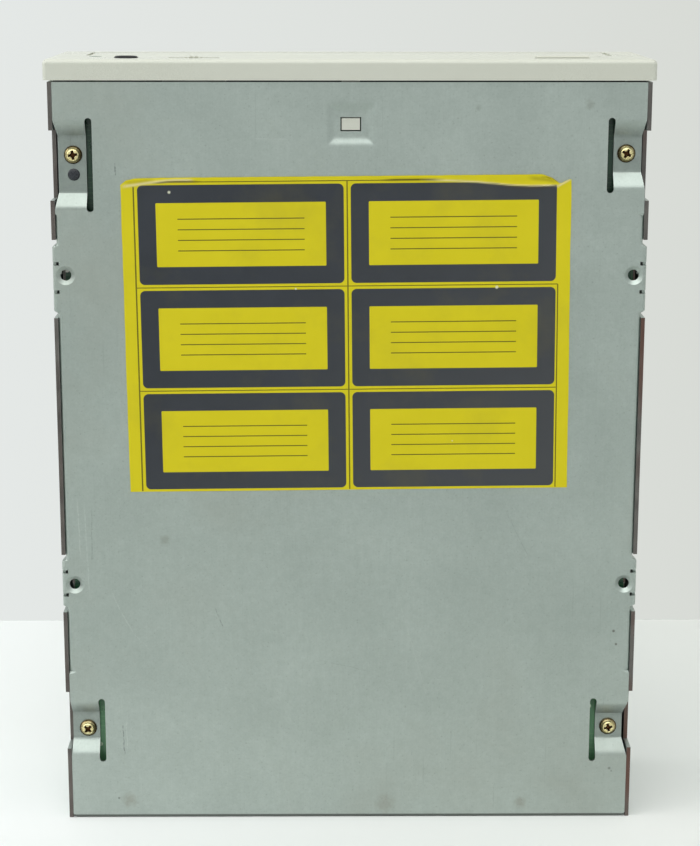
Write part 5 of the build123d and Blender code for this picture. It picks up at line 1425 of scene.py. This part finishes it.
# The volume potentiometer's case is stamped tinned steel, folded round its wafer. It is soldered to
# the main board behind the wheel.
pot_case = finish(
    "pot_case", (186, 188, 184), (164, 166, 160), rough=(0.3, 0.44), metallic=0.9, cloud=260.0,
    grain=(2600.0, 0.000006), edge=(214, 214, 210), edge_radius=0.0003, grime=0.4, grime_tone=(124, 112, 88),
)
dress(["volume_pot"], pot_case)


# The front lamp is cast in clear epoxy with a green tint. Its holder keeps it in line with the
# bezel's hole.
lamp_body = finish(
    "lamp_epoxy", (104, 142, 96), (84, 122, 76), rough=(0.12, 0.24), cloud=500.0, grain=(2800.0, 0.000003),
    **{"Transmission Weight": 0.35, "IOR": 1.5},
)
dress(["front_lamp"], lamp_body)


# The loader frame and the traverse are moulded in black plastic, with a spark-eroded grain, rubbed
# edges, scuffs and dust.
frame_black = finish(
    "frame_moulding", (44, 44, 46), (32, 32, 34), rough=(0.46, 0.62), cloud=70.0, grain=(2400.0, 0.00002),
    edge=(92, 92, 94), edge_radius=0.0004, edge_amount=0.6, scratch=(0.3, (900.0, 900.0, 40.0)),
    scratch_tone=(78, 78, 80), grime=0.45, grime_tone=(88, 84, 78),
)
dress(["chassis", "traverse_frame"], frame_black)


# The tray is moulded in dark grey plastic and slides on the loader frame's rails. Discs and the rails
# have left fine scratches on it, and its edges are rubbed pale.
tray_grey = finish(
    "tray_moulding", (74, 74, 76), (60, 60, 62), rough=(0.36, 0.52), cloud=46.0, grain=(2600.0, 0.000014),
    edge=(124, 124, 126), edge_radius=0.0004, edge_amount=0.7, scratch=(0.35, (1100.0, 1100.0, 60.0)),
    scratch_tone=(108, 108, 110), grime=0.35, grime_tone=(104, 100, 92),
)
dress(["tray"], tray_grey)


# The gears, the cam slider and the clamper are moulded in white acetal, which lets a little light in,
# with smears of old grease. The loading motor's pulley is turned from brass.
acetal = finish(
    "white_acetal", (232, 230, 220), (218, 215, 202), rough=(0.3, 0.44), cloud=160.0,
    grain=(2400.0, 0.000006), edge=(240, 239, 232), edge_radius=0.0003, edge_amount=0.4,
    grime=0.5, grime_tone=(176, 168, 146),
    **{"Subsurface Weight": 0.12, "Subsurface Radius": (0.003, 0.0025, 0.0018)},
)
dress(["tray_gear", "pulley_gear", "sled_gear", "sled_pinion", "cam_slider", "clamper"], acetal)
brass = finish(
    "turned_brass", (222, 196, 122), (196, 166, 92), rough=(0.22, 0.36), metallic=1.0, cloud=400.0,
    grain=(3000.0, 0.000005), scratch=(0.5, (200.0, 200.0, 5000.0)), scratch_tone=(160, 132, 70),
)
dress(["motor_pulley"], brass)


# The drive belt, the dampers and the turntable's ring are soft black rubber, dull and dusty. They stay
# in place by their own stretch.
rubber = finish(
    "soft_rubber", (40, 40, 40), (28, 28, 28), rough=(0.7, 0.86), cloud=220.0, grain=(1800.0, 0.00002),
    edge=(70, 70, 70), edge_radius=0.0003, edge_amount=0.5, grime=0.5, grime_tone=(96, 94, 90),
)
dress(["drive_belt", "traverse_bushes", "turntable_rubber"], rubber)


# The motors' cans are drawn from nickel-plated steel. The fine lines come from the drawing tool, and
# fingers have left a little grime.
motor_can = finish(
    "motor_can", (196, 198, 198), (172, 174, 174), rough=(0.22, 0.34), metallic=0.95, cloud=120.0,
    grain=(2600.0, 0.000004), stretch=(1.0, 14.0, 1.0), edge=(226, 226, 224), edge_radius=0.0003,
    scratch=(0.35, (300.0, 4200.0, 300.0)), scratch_tone=(140, 142, 142),
    grime=0.25, grime_tone=(132, 126, 112),
)
dress(["loading_motor", "sled_motor", "spindle_motor"], motor_can)


# The guide rods are ground stainless steel with a film of grease. They are clipped into the traverse,
# and the sled runs on them.
ground_rod = finish(
    "ground_steel", (214, 216, 218), (196, 198, 200), rough=(0.1, 0.2), metallic=1.0, cloud=300.0,
    grain=(5200.0, 0.000002), stretch=(6.0, 6.0, 0.4), grime=0.3, grime_tone=(160, 150, 124),
)
dress(["guide_rods"], ground_rod)


# The sled is a zinc die casting, barrelled smooth, with a cloudy grey skin and bright rubbed corners.
# It carries the lens holder and runs on the guide rods.
cast_zinc = finish(
    "cast_zinc", (150, 152, 154), (128, 130, 132), rough=(0.4, 0.56), metallic=0.75, cloud=130.0,
    grain=(1500.0, 0.000014), edge=(196, 198, 198), edge_radius=0.0004, edge_amount=0.9,
    grime=0.35, grime_tone=(96, 92, 84),
)
dress(["sled"], cast_zinc)


# The turntable is turned from aluminium with a satin face, and pressed on the spindle motor's shaft.
# The clamp bridge is zinc-plated sheet, held by the loader frame.
turned_aluminium = finish(
    "turned_aluminium", (206, 208, 209), (186, 188, 189), rough=(0.26, 0.38), metallic=0.95, cloud=200.0,
    grain=(2600.0, 0.000004), edge=(228, 229, 229), edge_radius=0.0003, grime=0.2, grime_tone=(140, 136, 124),
)
dress(["turntable"], turned_aluminium)
bridge_sheet = finish(
    "bridge_sheet", (184, 189, 186), (166, 171, 168), rough=(0.36, 0.48), metallic=0.75, cloud=60.0,
    grain=(1800.0, 0.000006), edge=(210, 212, 210), edge_radius=0.0003,
    scratch=(0.3, (1400.0, 1400.0, 30.0)), scratch_tone=(124, 128, 126), grime=0.3, grime_tone=(116, 110, 98),
)
dress(["clamp_bridge"], bridge_sheet)


# The clamper's magnet is sintered ferrite, dark and grainy, with paler edges. It is pressed into the
# clamper.
ferrite = finish(
    "ferrite", (58, 57, 60), (44, 43, 46), rough=(0.55, 0.72), metallic=0.2, cloud=420.0,
    grain=(2200.0, 0.00002), edge=(92, 90, 92), edge_radius=0.0003, edge_amount=0.8,
)
dress(["clamper_magnet"], ferrite)


# The lens holder is black liquid-crystal plastic. The lens is moulded clear, with a bluish coating, and
# is glued into it.
holder_black = finish(
    "holder_plastic", (36, 36, 40), (26, 26, 30), rough=(0.34, 0.46), cloud=600.0, grain=(5200.0, 0.000006),
    edge=(80, 80, 86), edge_radius=0.00015, edge_amount=0.5,
)
dress(["lens_holder"], holder_black)
coated_lens = finish(
    "coated_lens", (206, 216, 238), (190, 202, 230), rough=(0.02, 0.05), cloud=600.0,
    grain=(5200.0, 0.0000005),
    **{"Transmission Weight": 0.85, "IOR": 1.5, "Coat Weight": 0.6, "Coat Tint": (0.6, 0.65, 1.0, 1.0)},
)
dress(["lens"], coated_lens)
